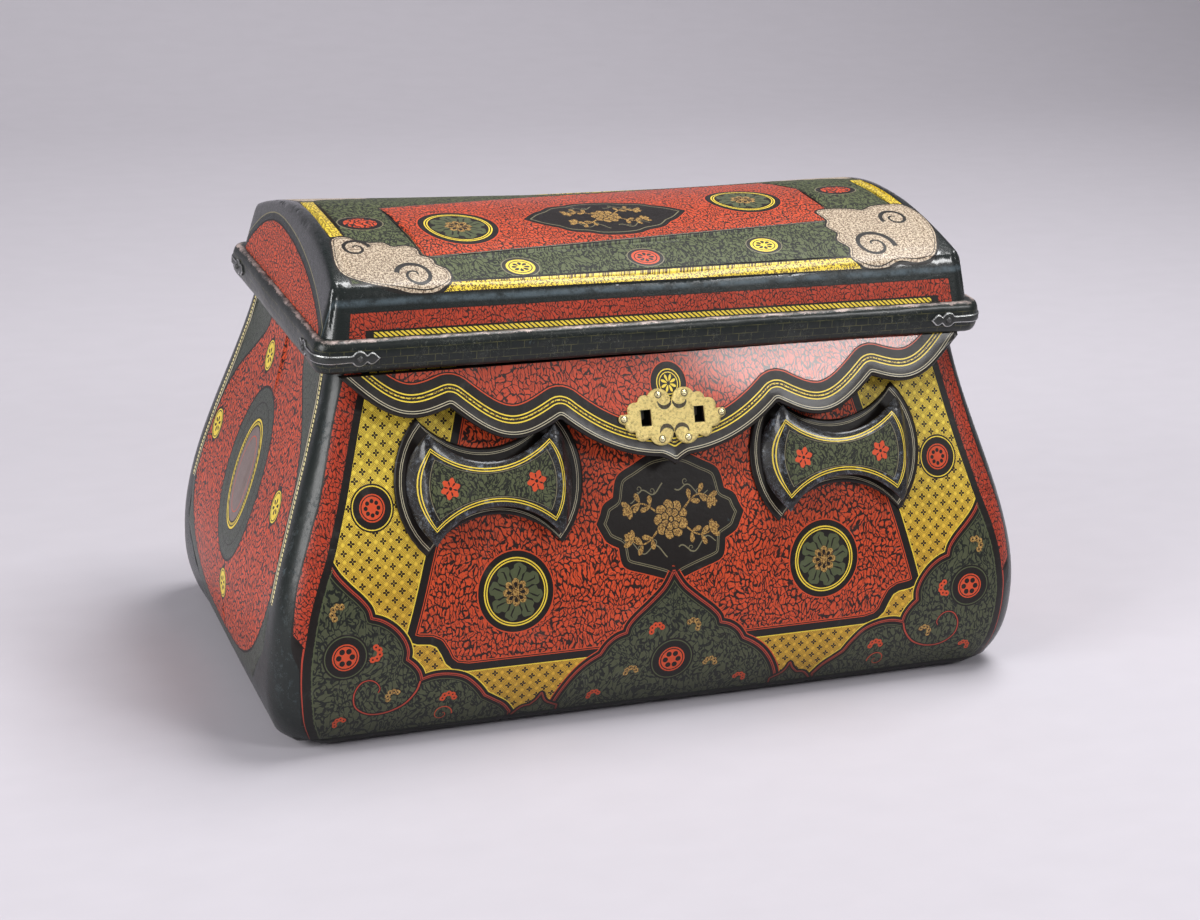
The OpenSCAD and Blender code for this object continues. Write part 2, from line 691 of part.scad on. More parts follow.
// Inner face of the flap, which hangs away from the body, and its lean
function flap_face(z) =
    let(
        u = (rim_z - z) / (rim_z - flap_tip_z),
        top_y = face_y(rim_z, -1) - flap_top_gap,
        low_y = face_y(flap_tip_z, -1) - flap_low_gap
    )
    top_y + (low_y - top_y) * u - flap_bulge * sin(180 * u);
function flap_lean(z) = atan((flap_face(z + 1) - flap_face(z - 1)) / 2);
function flap_point(x, row, outer) =
    let(
        z0 = flap_edge(x),
        k = min(1, (rim_z - z0) / edge_band),
        z1 = z0 + row[0] * k,
        z = z1 + (rim_z - z1) * row[1],
        thick = outer ? flap_t + row[2] * bead_t : 0
    )
    [x, flap_face(z) - thick, z];
module front_flap() {
    color(vermilion)
    difference() {
        sheet(
            [for (row = flap_rows) [for (x = flap_xs) flap_point(x, row, true)]],
            [for (row = flap_rows) [for (x = flap_xs) flap_point(x, row, false)]]
        );
        for (s = [-1, 1])
            translate([s * slot_x, flap_face(lock_z) - flap_t / 2, lock_z])
            cube([slot_w, 4 * flap_t, slot_h], center = true);
    }
}

// LOCK PLATE
// Lobes of the plate's right half: [x, height, radius]
lobes = [[8.4, 9.4, 8], [17.7, 9.6, 4.4], [24.4, 5, 4.9], [26.6, -3.4, 5], [20.8, -9.6, 4.5],
    [8.6, -9.4, 8], [32.3, 0.2, 3.1]];
// Sizes of the rectangle in the middle of the plate and of the necks of its side lobes
plate_core = [46, 20];
side_neck = [9, 3.4];
// Places of the rivets in the right half
plate_rivets = [[8.7, 13.6], [32.3, 0.2], [8.7, -13.6]];
// Places its children on the flap's face at the lock, with Z away from the face
module on_flap(lift) {
    translate([0, flap_face(lock_z) - flap_t - seat, lock_z])
    rotate([-flap_lean(lock_z), 0, 0])
    rotate([90, 0, 0])
    translate([0, 0, lift])
    children();
}
module lock_plate() {
    color(brass)
    on_flap(0)
    linear_extrude(lock_plate_t)
    difference() {
        union() {
            square(plate_core, center = true);
            for (s = [-1, 1], c = lobes) translate([s * c[0], c[1]]) circle(c[2]);
            for (s = [-1, 1])
                translate([s * (lobes[6][0] - side_neck[0] / 2), 0]) square(side_neck, center = true);
        }
        for (s = [-1, 1]) translate([s * slot_x, 0]) square([slot_w, slot_h], center = true);
    }
}
module lock_rivets() {
    color(brass)
    on_flap(lock_plate_t)
    for (s = [-1, 1], c = plate_rivets) translate([s * c[0], c[1]]) rivet();
}

body_skin();
wall_board(2);  // front_board
wall_board(0);  // back_board
wall_board(1);  // left_board
wall_board(3);  // right_board
base_board();
loop_plate(-1);  // loop_plate_left
loop_plate(1);  // loop_plate_right
loop_bridge(-1);  // loop_bridge_left
loop_bridge(1);  // loop_bridge_right
staple(-1);  // staple_left
staple(1);  // staple_right
hinge_body_leaf(-1);  // hinge_body_leaf_left
hinge_body_leaf(1);  // hinge_body_leaf_right
hinge_pin(-1);  // hinge_pin_left
hinge_pin(1);  // hinge_pin_right
hinge_body_rivets();
lid_skin();
lid_front_board();
lid_back_board();
lid_left_board();
lid_right_board();
lid_top_board();
rim_side(2);  // rim_front
rim_side(0);  // rim_back
rim_side(1);  // rim_left
rim_side(3);  // rim_right
corner_iron(-1, -1);  // corner_iron_front_left
corner_iron(1, -1);  // corner_iron_front_right
corner_iron(-1, 1);  // corner_iron_back_left
corner_iron(1, 1);  // corner_iron_back_right
corner_iron_rivets();
front_flap();
lock_plate();
lock_rivets();
hinge_lid_leaf(-1);  // hinge_lid_leaf_left
hinge_lid_leaf(1);  // hinge_lid_leaf_right
hinge_lid_rivets();
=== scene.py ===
"""Painted leather coffer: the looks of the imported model. Helper functions work in millimetres."""

import math

import bmesh
import bpy
import numpy as np
from mathutils import Matrix, Vector
from mathutils.geometry import delaunay_2d_cdt


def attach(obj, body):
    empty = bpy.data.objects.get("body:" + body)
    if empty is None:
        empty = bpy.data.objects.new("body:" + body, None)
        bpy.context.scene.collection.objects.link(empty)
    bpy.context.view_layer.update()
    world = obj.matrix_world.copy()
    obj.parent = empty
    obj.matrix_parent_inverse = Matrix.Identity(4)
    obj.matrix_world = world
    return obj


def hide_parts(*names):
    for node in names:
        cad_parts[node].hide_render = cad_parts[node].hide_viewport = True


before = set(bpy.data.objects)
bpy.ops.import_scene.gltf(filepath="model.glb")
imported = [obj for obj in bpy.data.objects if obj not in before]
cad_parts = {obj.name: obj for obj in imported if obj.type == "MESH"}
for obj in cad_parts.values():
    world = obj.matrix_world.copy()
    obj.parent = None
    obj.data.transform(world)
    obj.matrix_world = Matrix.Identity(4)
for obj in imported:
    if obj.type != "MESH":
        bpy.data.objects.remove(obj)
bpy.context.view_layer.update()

MM, PI = 0.001, math.pi

# ---------------------------------------------------------------- shape of the coffer, as in its source
MOUTH_W, MOUTH_D, MOUTH_Z, MOUTH_BACK = 414, 189, 225, 15
BELLY_W, BELLY_D, BELLY_Z = 504, 268, 50
FOOT_TUCK, FOOT_R, BASE_PROUD, TUCK_POWER = 13, 8, 1, 2.5
FOOT_Z = BASE_PROUD + FOOT_R
V_LOW = FOOT_Z - FOOT_R * PI / 2
CORNER_MOUTH_R, CORNER_BELLY_R, SKIN_T = 13, 24, 3
END_FULL, SIDE_FULL = 0.65, 1.2
RIM_Z, RIM_H, RIM_A, RIM_B, RIM_IN, RIM_R, RIM_BULGE, BULGE_POWER = 225.3, 20, 220, 107.5, 15, 11, 5, 2.5
DOME_A, DOME_B, DOME_Z, DOME_H, DOME_R = 214, 101.5, 245.3, 48, 13
CROWN_FALL, CROWN_SAG, SIDE_STEEP, END_STEEP, ROUND_POWER = 24, 4, 3, 4, 12
FLAP_T, FLAP_TOP_GAP, FLAP_LOW_GAP, FLAP_BULGE = 4, 3.8, 11.8, 1.5
FLAP_HALF, FLAP_TIP_Z, FLAP_LOBE_Z, FLAP_END_Z = 205, 162, 167, 223
NOTCH1_X, NOTCH1_Z, NOTCH2_X, NOTCH2_Z, LOBE2_DEEP, LOBE3_DEEP = 72, 192.5, 140, 203, 13.5, 12.5
LOCK_Z, PLATE_T, SLOT_X, SLOT_W, SLOT_H = 190, 1.5, 17.6, 7, 10
LOOP_X, LOOP_Z, LOOP_HALF, LOOP_CX, LOOP_CZ, LOOP_WAIST = 115.5, 157, 59.5, 43, 38, 18.5
LOOP_PLATE_T, LOOP_BORDER, LOOP_SPACE, BRIDGE_T, BRIDGE_RAMP = 2, 7, 10, 3, 12
SEAT = 0.2
INSIDE = 0.02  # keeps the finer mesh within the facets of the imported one
BUMP = 0.18 * MM
WELD = 0.01 * MM
CELL = 1.6  # nearest that a grid point may be to a painted line
OUT_X, LOW_Z, TOP_Z = 262, -8, 226  # beyond the ends, foot and mouth of every wall's flat outline


def rise(t):
    return 3 * t ** 2 - 2 * t ** 3


def fade(t):
    return rise(np.clip(t, 0, 1))


def fall(z):
    """0 at the mouth, 1 from the belly down."""
    return np.clip((MOUTH_Z - z) / (MOUTH_Z - BELLY_Z), 0, 1)


def half_size(z, wide):
    """Half the width of the body at z, or half its depth."""
    mouth, belly, full = (MOUTH_W, BELLY_W, END_FULL) if wide else (MOUTH_D, BELLY_D, SIDE_FULL)
    u = fall(z)
    tuck = FOOT_TUCK * (np.maximum(BELLY_Z - z, 0) / BELLY_Z) ** TUCK_POWER
    return mouth / 2 - INSIDE + (belly - mouth) / 2 * (rise(u) + full * u * (1 - u) ** 2) - tuck


def mid_y(z):
    return MOUTH_BACK * rise(1 - fall(z))


def front_y(z):
    return mid_y(z) - half_size(z, False)


def lean(face, z):
    return np.arctan((face(z + 1) - face(z - 1)) / 2)


def foot_height(v):
    """Height and inset at v, which follows the rounded foot below FOOT_Z."""
    turn = np.clip((FOOT_Z - v) / FOOT_R, 0, PI / 2)
    return np.where(v < FOOT_Z, FOOT_Z - FOOT_R * np.sin(turn), v), FOOT_R * (1 - np.cos(turn))


def side_reach(v, ends):
    """Half length of a side's flat part and radius of its corners at v."""
    z, inset = foot_height(np.asarray(v, float))
    r = CORNER_MOUTH_R + (CORNER_BELLY_R - CORNER_MOUTH_R) * fall(z)
    return half_size(z, not ends) - inset - r, r


def dent(a, z, room):
    """Slow waviness of the hand-made wall, always inwards, with none at the corners and the mouth."""
    wave = 0.3 * (np.sin(a / 47 + 1.3 * np.sin(z / 39)) + np.sin(z / 31 + a / 83) - 2)
    return wave * fade(room / 30) * fade((MOUTH_Z - z) / 20)


# sides: direction along, direction out
SIDES = {"front": ((1, 0), (0, -1)), "right": ((0, 1), (1, 0)),
         "back": ((-1, 0), (0, 1)), "left": ((0, -1), (-1, 0))}


def wall(side, s, v, off=0.0):
    """Points of a wall at s along it and v up it, off mm outside its face."""
    (ax, ay), (ox, oy) = SIDES[side]
    ends = side in ("left", "right")
    s, v = np.asarray(s, float), np.asarray(v, float)
    z, inset = foot_height(v)
    along, r = side_reach(v, ends)
    out = half_size(z, ends) - inset + dent(s, z, along - np.abs(s))
    turn = np.clip((np.abs(s) - along) / r, 0, PI / 4)
    way = np.sign(s)
    a = np.where(np.abs(s) > along, way * (along + r * np.sin(turn)), s) + way * off * np.sin(turn)
    o = out + off * np.cos(turn) - r * (1 - np.cos(turn))
    return np.stack([a * ax + o * ox, a * ay + o * oy + mid_y(z), z], -1)


def front_face(x, z):
    """y of the body's front."""
    return front_y(z) - dent(x, z, side_reach(z, False)[0] - np.abs(x))


# ---------------------------------------------------------------- outlines
def spline(points, n=5, closed=False):
    """Smooth curve through points."""
    p = np.array(points, float)
    last = len(p) - 1
    at = (lambda i: p[i % len(p)]) if closed else (lambda i: p[min(max(i, 0), last)])
    out = []
    for i in range(last + closed):
        p0, p1, p2, p3 = at(i - 1), at(i), at(i + 1), at(i + 2)
        for j in range(n):
            t = j / n
            out.append(0.5 * (2 * p1 + (p2 - p0) * t + (2 * p0 - 5 * p1 + 4 * p2 - p3) * t ** 2
                              + (3 * p1 - p0 - 3 * p2 + p3) * t ** 3))
    return [tuple(q) for q in (out if closed else out + [p[-1]])]


def chain(*parts, n=5):
    """Smooth curves with sharp points between them. Each part goes on from the last point."""
    out = []
    for part in parts:
        out = out[:-1] + spline(out[-1:] + part, n)
    return out


def mirror(points):
    return [(-x, y) for x, y in reversed(points)]


def shift(points, dx=0.0, dy=0.0, scale=1.0, turn=0.0):
    c, s = math.cos(turn) * scale, math.sin(turn) * scale
    return [(dx + c * x - s * y, dy + s * x + c * y) for x, y in points]


def slide(points, dx, low=-math.inf, high=math.inf):
    """The points between two heights, moved along x."""
    return [(x + dx, y) for x, y in points if low < y < high]


def box(x0, y0, x1, y1):
    return [(x0, y0), (x1, y0), (x1, y1), (x0, y1)]


def disc(x, y, r, ry=None, n=0):
    angles = np.linspace(0, 2 * PI, n or max(14, int(min(r, 30) * 3)), endpoint=False)
    return [(x + r * math.cos(a), y + (ry or r) * math.sin(a)) for a in angles]


def wavy_disc(x, y, r, lobes, depth, turn=0.0):
    out = []
    for a in np.linspace(0, 2 * PI, lobes * 6, endpoint=False):
        reach = r * (1 + depth * math.cos(lobes * a))
        out.append((x + reach * math.cos(a + turn), y + reach * math.sin(a + turn)))
    return out


def petal(length, width, base=0.0):
    half = [(base + length * 0.35, width * 0.8), (base + length * 0.75, width)]
    return spline([(base, 0), *half, (base + length, 0), *((x, -y) for x, y in half[::-1])], 3, closed=True)


def line_dist(q, line, closed=True):
    """Distance of points from an outline."""
    a = np.array(line, float)
    best = np.full(len(q), 1e9)
    for p, r in zip(a if closed else a[:-1], np.roll(a, -1, 0)):
        d = r - p
        t = np.clip(((q - p) @ d) / (d @ d + 1e-12), 0, 1)
        best = np.minimum(best, np.hypot(*(q - p - t[:, None] * d).T))
    return best


def resample(points, step):
    """The closed outline with no side longer than step."""
    a = np.array(points, float)
    out = []
    for p, q in zip(a, np.roll(a, -1, 0)):
        n = max(1, int(math.ceil(np.linalg.norm(q - p) / step)))
        out += [tuple(p + (q - p) * j / n) for j in range(n)]
    return out


def hex_grid(low, high, step):
    row = step * 0.866
    rows = []
    for j in range(int((high[1] - low[1]) / row) + 1):
        x = np.arange(low[0] + (j % 2) * step / 2, high[0], step)
        rows.append(np.stack([x, np.full(len(x), low[1] + (j + 0.5) * row)], 1))
    return np.concatenate(rows)


class Zone:
    """A painted patch: inside the outline, moved outwards by grow."""

    def __init__(self, slot, outline, grow=0.0):
        a = np.array(outline, float)
        b = np.roll(a, -1, 0)
        clockwise = (a[:, 0] * b[:, 1] - b[:, 0] * a[:, 1]).sum() < 0
        self.slot, self.grow, self.outline = slot, grow, a[::-1].copy() if clockwise else a

    def mirrored(self):
        return Zone(self.slot, mirror(self.outline), self.grow)

    def edge_line(self):
        if not self.grow:
            return self.outline
        d = np.roll(self.outline, -1, 0) - self.outline
        normal = np.stack([d[:, 1], -d[:, 0]], 1) / (np.linalg.norm(d, axis=1)[:, None] + 1e-9)
        g, out = self.grow, []
        for p, u, w in zip(self.outline, np.roll(normal, 1, 0), normal):
            m = u + w
            if (u[0] * w[1] - u[1] * w[0]) * g > 0.35 * abs(g):
                out += [p + g * u, p + g * m / max(np.linalg.norm(m), 0.3), p + g * w]
            else:
                out.append(p + g * m / max(0.5, (m @ m) / 2))
        return np.array(out)

    def holds(self, q):
        a, room = self.outline, max(self.grow, 0)
        near = np.where(((q >= a.min(0) - room) & (q <= a.max(0) + room)).all(1))[0]
        found = np.zeros(len(q), bool)
        if len(near) == 0:
            return found
        pts = q[near]
        inside = np.zeros(len(pts), bool)
        for p, r in zip(a, np.roll(a, -1, 0)):
            if p[1] != r[1]:
                cross = (p[1] > pts[:, 1]) != (r[1] > pts[:, 1])
                inside ^= cross & (pts[:, 0] < (r[0] - p[0]) * (pts[:, 1] - p[1]) / (r[1] - p[1]) + p[0])
        if self.grow > 0:
            inside |= line_dist(pts, a) < self.grow
        elif self.grow < 0:
            inside &= line_dist(pts, a) > -self.grow
        found[near] = inside
        return found


def bands(outline, *steps):
    """Zones of one outline: how far each is grown, and its slot, by turns."""
    return [Zone(slot, outline, grow) for grow, slot in zip(steps[::2], steps[1::2])]


def ovals(x, y, sizes, n=0):
    return [Zone(slot, disc(x, y, rx, ry, n)) for rx, ry, slot in sizes]


def stroke(points, widths, slot):
    """Line of varying width."""
    m = np.array(points, float)
    d = np.gradient(m, axis=0)
    side = np.stack([-d[:, 1], d[:, 0]], 1) / (np.linalg.norm(d, axis=1)[:, None] + 1e-9)
    side = side * np.array(widths, float)[:, None] / 2
    return Zone(slot, np.concatenate([m + side, (m - side)[::-1]]))


def both(zones):
    """The zones and their mirror images."""
    return [q for z in zones for q in (z, z.mirrored())]


def triangulate(domain, zones, grid, holes=()):
    """Flat mesh of the domain cut along every zone: points, triangles, slot name of each triangle."""
    pts, edges, taken = [], [], {}
    for line in [domain, *holes, *(z.edge_line() for z in zones)]:
        start, n = len(pts), len(line)
        pts += [(float(x), float(y)) for x, y in line]
        edges += [(start + i, start + (i + 1) % n) for i in range(n)]
    for x, y in pts:
        taken.setdefault((int(x // CELL), int(y // CELL)), []).append((x, y))

    def free(x, y):
        cx, cy = int(x // CELL), int(y // CELL)
        return not any((x - p[0]) ** 2 + (y - p[1]) ** 2 < CELL ** 2 for dx in (-1, 0, 1) for dy in (-1, 0, 1)
                       for p in taken.get((cx + dx, cy + dy), ()))

    domain = Zone("", domain)
    pts += [(x, y) for x, y in grid[domain.holds(grid)] if free(x, y)]
    v, _, f, _, _, _ = delaunay_2d_cdt([Vector(p) for p in pts], edges, [], 0, 1e-4)
    v, f = np.array([tuple(p) for p in v], float), np.array([t for t in f if len(t) == 3], int)
    mid = v[f].mean(1)
    a, b, c = v[f[:, 0]], v[f[:, 1]], v[f[:, 2]]
    area = (b[:, 0] - a[:, 0]) * (c[:, 1] - a[:, 1]) - (b[:, 1] - a[:, 1]) * (c[:, 0] - a[:, 0])
    f[area < 0] = f[area < 0][:, ::-1]
    good = domain.holds(mid) & (np.abs(area) > 1e-7)
    for h in holes:
        good &= ~Zone("", h).holds(mid)
    f, mid = f[good], mid[good]
    slot = np.full(len(f), "", object)
    for z in zones:
        slot[z.holds(mid)] = z.slot
    return v, f, slot


# ---------------------------------------------------------------- meshes
class Build:
    """Gathers points, faces, slots and flat coordinates of one piece."""

    def __init__(self):
        self.v, self.uv, self.f, self.m, self.smooth = [], [], [], [], []

    def add(self, co, faces, slots, uv):
        base = len(self.v)
        self.v += co.tolist()
        self.uv += uv.tolist()
        self.f += [tuple(int(i) + base for i in t) for t in faces]
        self.m += [slots] * len(faces) if isinstance(slots, str) else slots
        self.smooth += [True] * len(faces)

    def sheet(self, grid, slot, uv):
        """grid: rows x columns x 3. Columns run to the right and rows up, seen from outside."""
        g = np.array(grid, float)
        rows, cols = g.shape[:2]
        faces = [(a, a + 1, a + cols + 1, a + cols) for j in range(rows - 1)
                 for a in range(j * cols, (j + 1) * cols - 1)]
        self.add(g.reshape(-1, 3), faces, slot, np.array(uv, float).reshape(-1, 2))

    def slab(self, flat, top, bottom, default, back, side):
        """Solid between a painted top and a plain bottom, from a flat mesh."""
        v, f, slot = flat
        n, base = len(v), len(self.v)
        self.add(top(*v.T), f, [s or default for s in slot], v)
        self.add(bottom(*v.T), f[:, ::-1], back, v)
        edges = dict.fromkeys((t[i], t[(i + 1) % 3]) for t in (f + base).tolist() for i in range(3))
        rim = [(a, a + n, b + n, b) for a, b in edges if (b, a) not in edges]
        self.f += rim
        self.m += [side] * len(rim)
        self.smooth += [False] * len(rim)

    def finish(self, name, body, slot, replaces, sharp):
        mesh = bpy.data.meshes.new(name)
        mesh.from_pydata((np.array(self.v) * MM).tolist(), [], self.f)
        names = list(dict.fromkeys(self.m))
        for s in names:
            mesh.materials.append(material(s))
        mesh.polygons.foreach_set("material_index", [names.index(s) for s in self.m])
        mesh.polygons.foreach_set("use_smooth", self.smooth)
        loops = np.zeros(len(mesh.loops), int)
        mesh.loops.foreach_get("vertex_index", loops)
        mesh.uv_layers.new(name="paint_mm").data.foreach_set("uv", np.array(self.uv)[loops].ravel())
        bm = bmesh.new()
        bm.from_mesh(mesh)
        bmesh.ops.remove_doubles(bm, verts=bm.verts, dist=WELD)
        bm.to_mesh(mesh)
        bm.free()
        mesh.validate()
        mesh.set_sharp_from_angle(angle=math.radians(sharp))
        o = bpy.data.objects.new(name, mesh)
        bpy.context.scene.collection.objects.link(o)
        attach(o, body)
        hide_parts(*replaces)


# ---------------------------------------------------------------- materials; colours are sRGB, 0 to 255
RED, INK, LACQUER, YELLOW, OLIVE = (218, 80, 40), (24, 19, 16), (26, 33, 31), (248, 218, 72), (84, 92, 62)
CREAM, CHALK, WOOD, HIDE = (216, 198, 172), (206, 184, 176), (112, 56, 36), (92, 58, 40)
GREY_GREEN, MAUVE, IRON = (74, 80, 70), (128, 112, 108), (96, 97, 96)


def srgb(*rgb):
    return tuple(c / 3294.6 if c <= 10.31 else ((c / 255 + 0.055) / 1.055) ** 2.4 for c in rgb) + (1.0,)


class Socket:
    """Output of a node. Arithmetic on it adds maths nodes, | takes the larger."""

    def __init__(self, net, out):
        self.net, self.out = net, out

    def math(self, op, b=0.0):
        if self.out.type == "VALUE":
            return self.net.add("Math", (self, b), operation=op)
        b = (b,) * 3 if isinstance(b, (int, float)) else b
        return self.net.add("VectorMath", (self, b), int(op == "LENGTH"), operation=op)

    def __add__(self, b):
        return self.math("ADD", b)

    def __sub__(self, b):
        return self.math("SUBTRACT", b)

    def __mul__(self, b):
        return self.math("MULTIPLY", b)

    def __truediv__(self, b):
        return self.math("DIVIDE", b)

    def __or__(self, b):
        return self.math("MAXIMUM", b)

    def __abs__(self):
        return self.math("ABSOLUTE")

    def off(self, b):
        """Distance from b."""
        return abs(self - b)

    def ramp(self, a, b, lo=0.0, hi=1.0):
        """Mapped from a..b to lo..hi, smoothly and clamped."""
        return self.net.add("MapRange", (self, a, b, lo, hi), interpolation_type="SMOOTHSTEP")

    def noise(self, size, detail=3.0, rough=0.55, twist=0.0, out="Fac"):
        inputs = {"Vector": self, "Scale": 1 / size, "Detail": detail, "Roughness": rough,
                  "Distortion": twist}
        return self.net.add("TexNoise", inputs, out)

    def cells(self, spread, out, feature):
        return self.net.add("TexVoronoi", {"Vector": self, "Scale": 1, "Randomness": spread}, out,
                            voronoi_dimensions="2D", feature=feature)

    def other(self, name):
        """Another output of the same node."""
        return Socket(self.net, self.out.node.outputs[name])

    def split(self):
        x = self.net.add("SeparateXYZ", (self,))
        return x, x.other("Y"), x.other("Z")


class Net:
    """A material's nodes."""

    def __init__(self, name):
        self.mat = bpy.data.materials.new(name)
        self.mat.use_nodes = True
        self.nt = self.mat.node_tree
        self.nt.nodes.clear()
        self.bsdf = self.nt.nodes.new("ShaderNodeBsdfPrincipled")
        out = self.nt.nodes.new("ShaderNodeOutputMaterial")
        self.nt.links.new(self.bsdf.outputs[0], out.inputs["Surface"])
        self.uv = self.add("UVMap", uv_map="paint_mm")
        self.mm = self.add("TexCoord", out="Object") * (1 / MM)

    def add(self, kind, inputs=(), out=0, **settings):
        n = self.nt.nodes.new("ShaderNode" + kind)
        for key, value in settings.items():
            setattr(n, key, value)
        for key, value in inputs.items() if isinstance(inputs, dict) else enumerate(inputs):
            self.put(n.inputs[key], value)
        return Socket(self, n.outputs[out])

    def put(self, socket, value):
        if isinstance(value, Socket):
            self.nt.links.new(value.out, socket)
        else:
            socket.default_value = srgb(*value) if socket.type == "RGBA" else value

    def mix(self, f, a, b):
        return self.add("Mix", {0: f, 6: a, 7: b}, 2, data_type="RGBA")

    def tone(self, colour, size=5, depth=0.25):
        """Uneven brush-laid colour."""
        uneven = self.uv.noise(size, 4, 0.7).ramp(0.3, 0.75, 0, depth)
        return self.mix(uneven, colour, self.mix(0.6, colour, INK))

    def far(self, x, y):
        return self.add("CombineXYZ", (x, y)).math("LENGTH")

    def commas(self, size, seed, weight, v=None):
        """Curled comma strokes, one to a cell: 1 on a stroke."""
        v = (v or self.uv) * (1 / size) + (seed, seed * 1.7, 0)
        at = v.cells(0.85, "Position", "F1")
        x, y, _ = (v - at).split()
        turn = (y.math("ARCTAN2", x) / (2 * PI) + 1.0 + at.other("Color").split()[0]).math("FRACT")
        width = turn * 2.0 - 0.95
        width = (width * width * -1 + 1.0) * weight
        return (width - self.far(x, y).off(turn * 0.26 + 0.13)).ramp(-0.02, 0.03)

    def shade(self, colour, rough, height, bump, **extra):
        bump = self.add("Bump", {"Height": height, "Distance": bump})
        for key, value in {"Base_Color": colour, "Roughness": rough, "Normal": bump, **extra}.items():
            self.put(self.bsdf.inputs[key.replace("_", " ")], value)
        return self.mat

    def finish(self, colour, rough=0.42, coat=0.15, gloss=0.18, relief=0.0, wear=1.0):
        """Adds age and a painted shade towards the foot to the colour and joins everything to the shader."""
        mm = self.mm
        haze, fine = mm.noise(26, 5, 0.7, 0.6), mm.noise(2.2, 5, 0.75)
        chips = mm.noise(9, 6, 0.8).ramp(0.64, 0.69) * mm.noise(45, 2).ramp(0.5, 0.62)
        scratch = (mm * (0.04, 0.04, 0.9) + (3, 5, 1)).noise(1, 4, 0.6, 1.5).ramp(0.72, 0.76)
        dark = mm.noise(60, 3).ramp(0.35, 0.7, 0, 0.22 * wear)
        colour = self.mix(dark, colour, self.mix(0.5, colour, INK))
        for amount, age in ((haze.ramp(0.56, 0.74, 0, 0.07 * wear), (150, 150, 142)),
                            (chips * (0.85 * wear), (66, 80, 82)),
                            # near-black from 40 mm down to the foot: painted shade where the body rounds
                            # under
                            (mm.split()[2].ramp(4, 40, 0.55 * wear, 0), (14, 17, 15)),
                            (scratch * (0.25 * wear), (190, 186, 176))):
            colour = self.mix(amount, colour, age)
        height = fine * 0.5 + mm.noise(7, 3) * 1.1 - chips * 1.2 + relief
        return self.shade(colour, fine * 0.22 + haze * 0.14 + (rough - 0.18), height, BUMP,
                          Coat_Weight=coat, Coat_Roughness=gloss, Specular_IOR_Level=0.3)


def recipe(make):
    """Lets a material function take its colours and sizes first and its net later."""
    return lambda *a, **k: lambda net: make(net, *a, **k)


@recipe
def plain(net, colour, **k):
    return net.finish(net.tone(colour), **k)


@recipe
def scroll(net, paint, ground, size, gap=0.11, curls=0.0, weight=0.095, **k):
    """Packed curling leaves with dark gaps between them."""
    bend, small = (net.uv.noise(size * by, 1, out="Color") - 0.5 for by in (6, 0.9))
    v = (net.uv + bend * (size * 4.5) + small * (size * 0.7)) * (1 / size) * (1.28, 0.78, 1)
    wide = v.noise(0.55, 1).ramp(0.36, 0.66, gap * 0.4, gap * 1.7)
    ink = (v.cells(0.9, "Distance", "DISTANCE_TO_EDGE") - wide).ramp(-0.02, 0.035, 1, 0)
    ink = ink | net.commas(size * 1.1, 3.1, weight, v * size) * curls
    shade = net.uv.noise(size * 0.5, 2).ramp(0.35, 0.7, 0, 0.4)
    lit = net.mix(shade, paint, net.mix(0.45, paint, ground))
    return net.finish(net.mix(ink, lit, ground), relief=ink * -0.3, **k)


@recipe
def diaper(net, pitch):
    """Yellow lattice of triple lines with a dark flower in each cell."""
    x, y, _ = net.uv.split()
    sway = net.uv.noise(18, 1) * 3.0
    a, b = (((x + y + sway) / pitch).math("FRACT") - 0.5, ((x + sway - y) / pitch).math("FRACT") - 0.5)

    def lines(f, across):
        first, second, third = (f.off(at).ramp(0.018, 0.042, strength, 0)
                                for at, strength in ((0.44, 1.0), (0.34, 0.95), (0.25, 0.5)))
        return (first | second | third) * across.ramp(0.3, 0.4, 1, 0.1)

    grid = lines(abs(a), abs(b)) | lines(abs(b), abs(a))
    far = net.far(a, b)
    reach = abs((a.math("ARCTAN2", b) * 2).math("SINE")) * 0.2 + 0.11
    flower = (reach - far).ramp(-0.01, 0.02) * far.ramp(0.035, 0.055, 0.3, 1)
    paint = net.mix(y.ramp(60, 180, 1, 0), (255, 228, 84), (232, 184, 58))
    grid = grid * 0.95 * net.uv.noise(14, 4, 0.7).ramp(0.4, 0.7, 1.0, 0.75)
    colour = net.mix(grid, net.tone(paint, 6, 0.15), (132, 94, 22))
    return net.finish(net.mix(flower, colour, (42, 26, 14)), wear=0.7)


@recipe
def bars(net, paint, kx, ky, low, high):
    """Paint in bars across a black line."""
    x, y, _ = net.uv.split()
    bar = (x * kx + y * ky).math("FRACT").off(0.5).ramp(low, high, 1, 0)
    return net.finish(net.mix(bar, INK, net.tone(paint)))


@recipe
def stipple(net):
    ink = net.uv.noise(1.1, 2, 0.6).ramp(0.5, 0.56) * 0.8 | net.commas(2.2, 5.0, 0.12) * 0.9
    return net.finish(net.mix(ink, net.tone(CREAM), (92, 66, 46)))


@recipe
def leafy_line(net, paint, ground, size):
    """A narrow border of small scrollwork."""
    ink = net.commas(size, 9.0, 0.15) | net.commas(size * 0.8, 4.0, 0.12)
    return net.finish(net.mix(ink, net.tone(paint), ground))


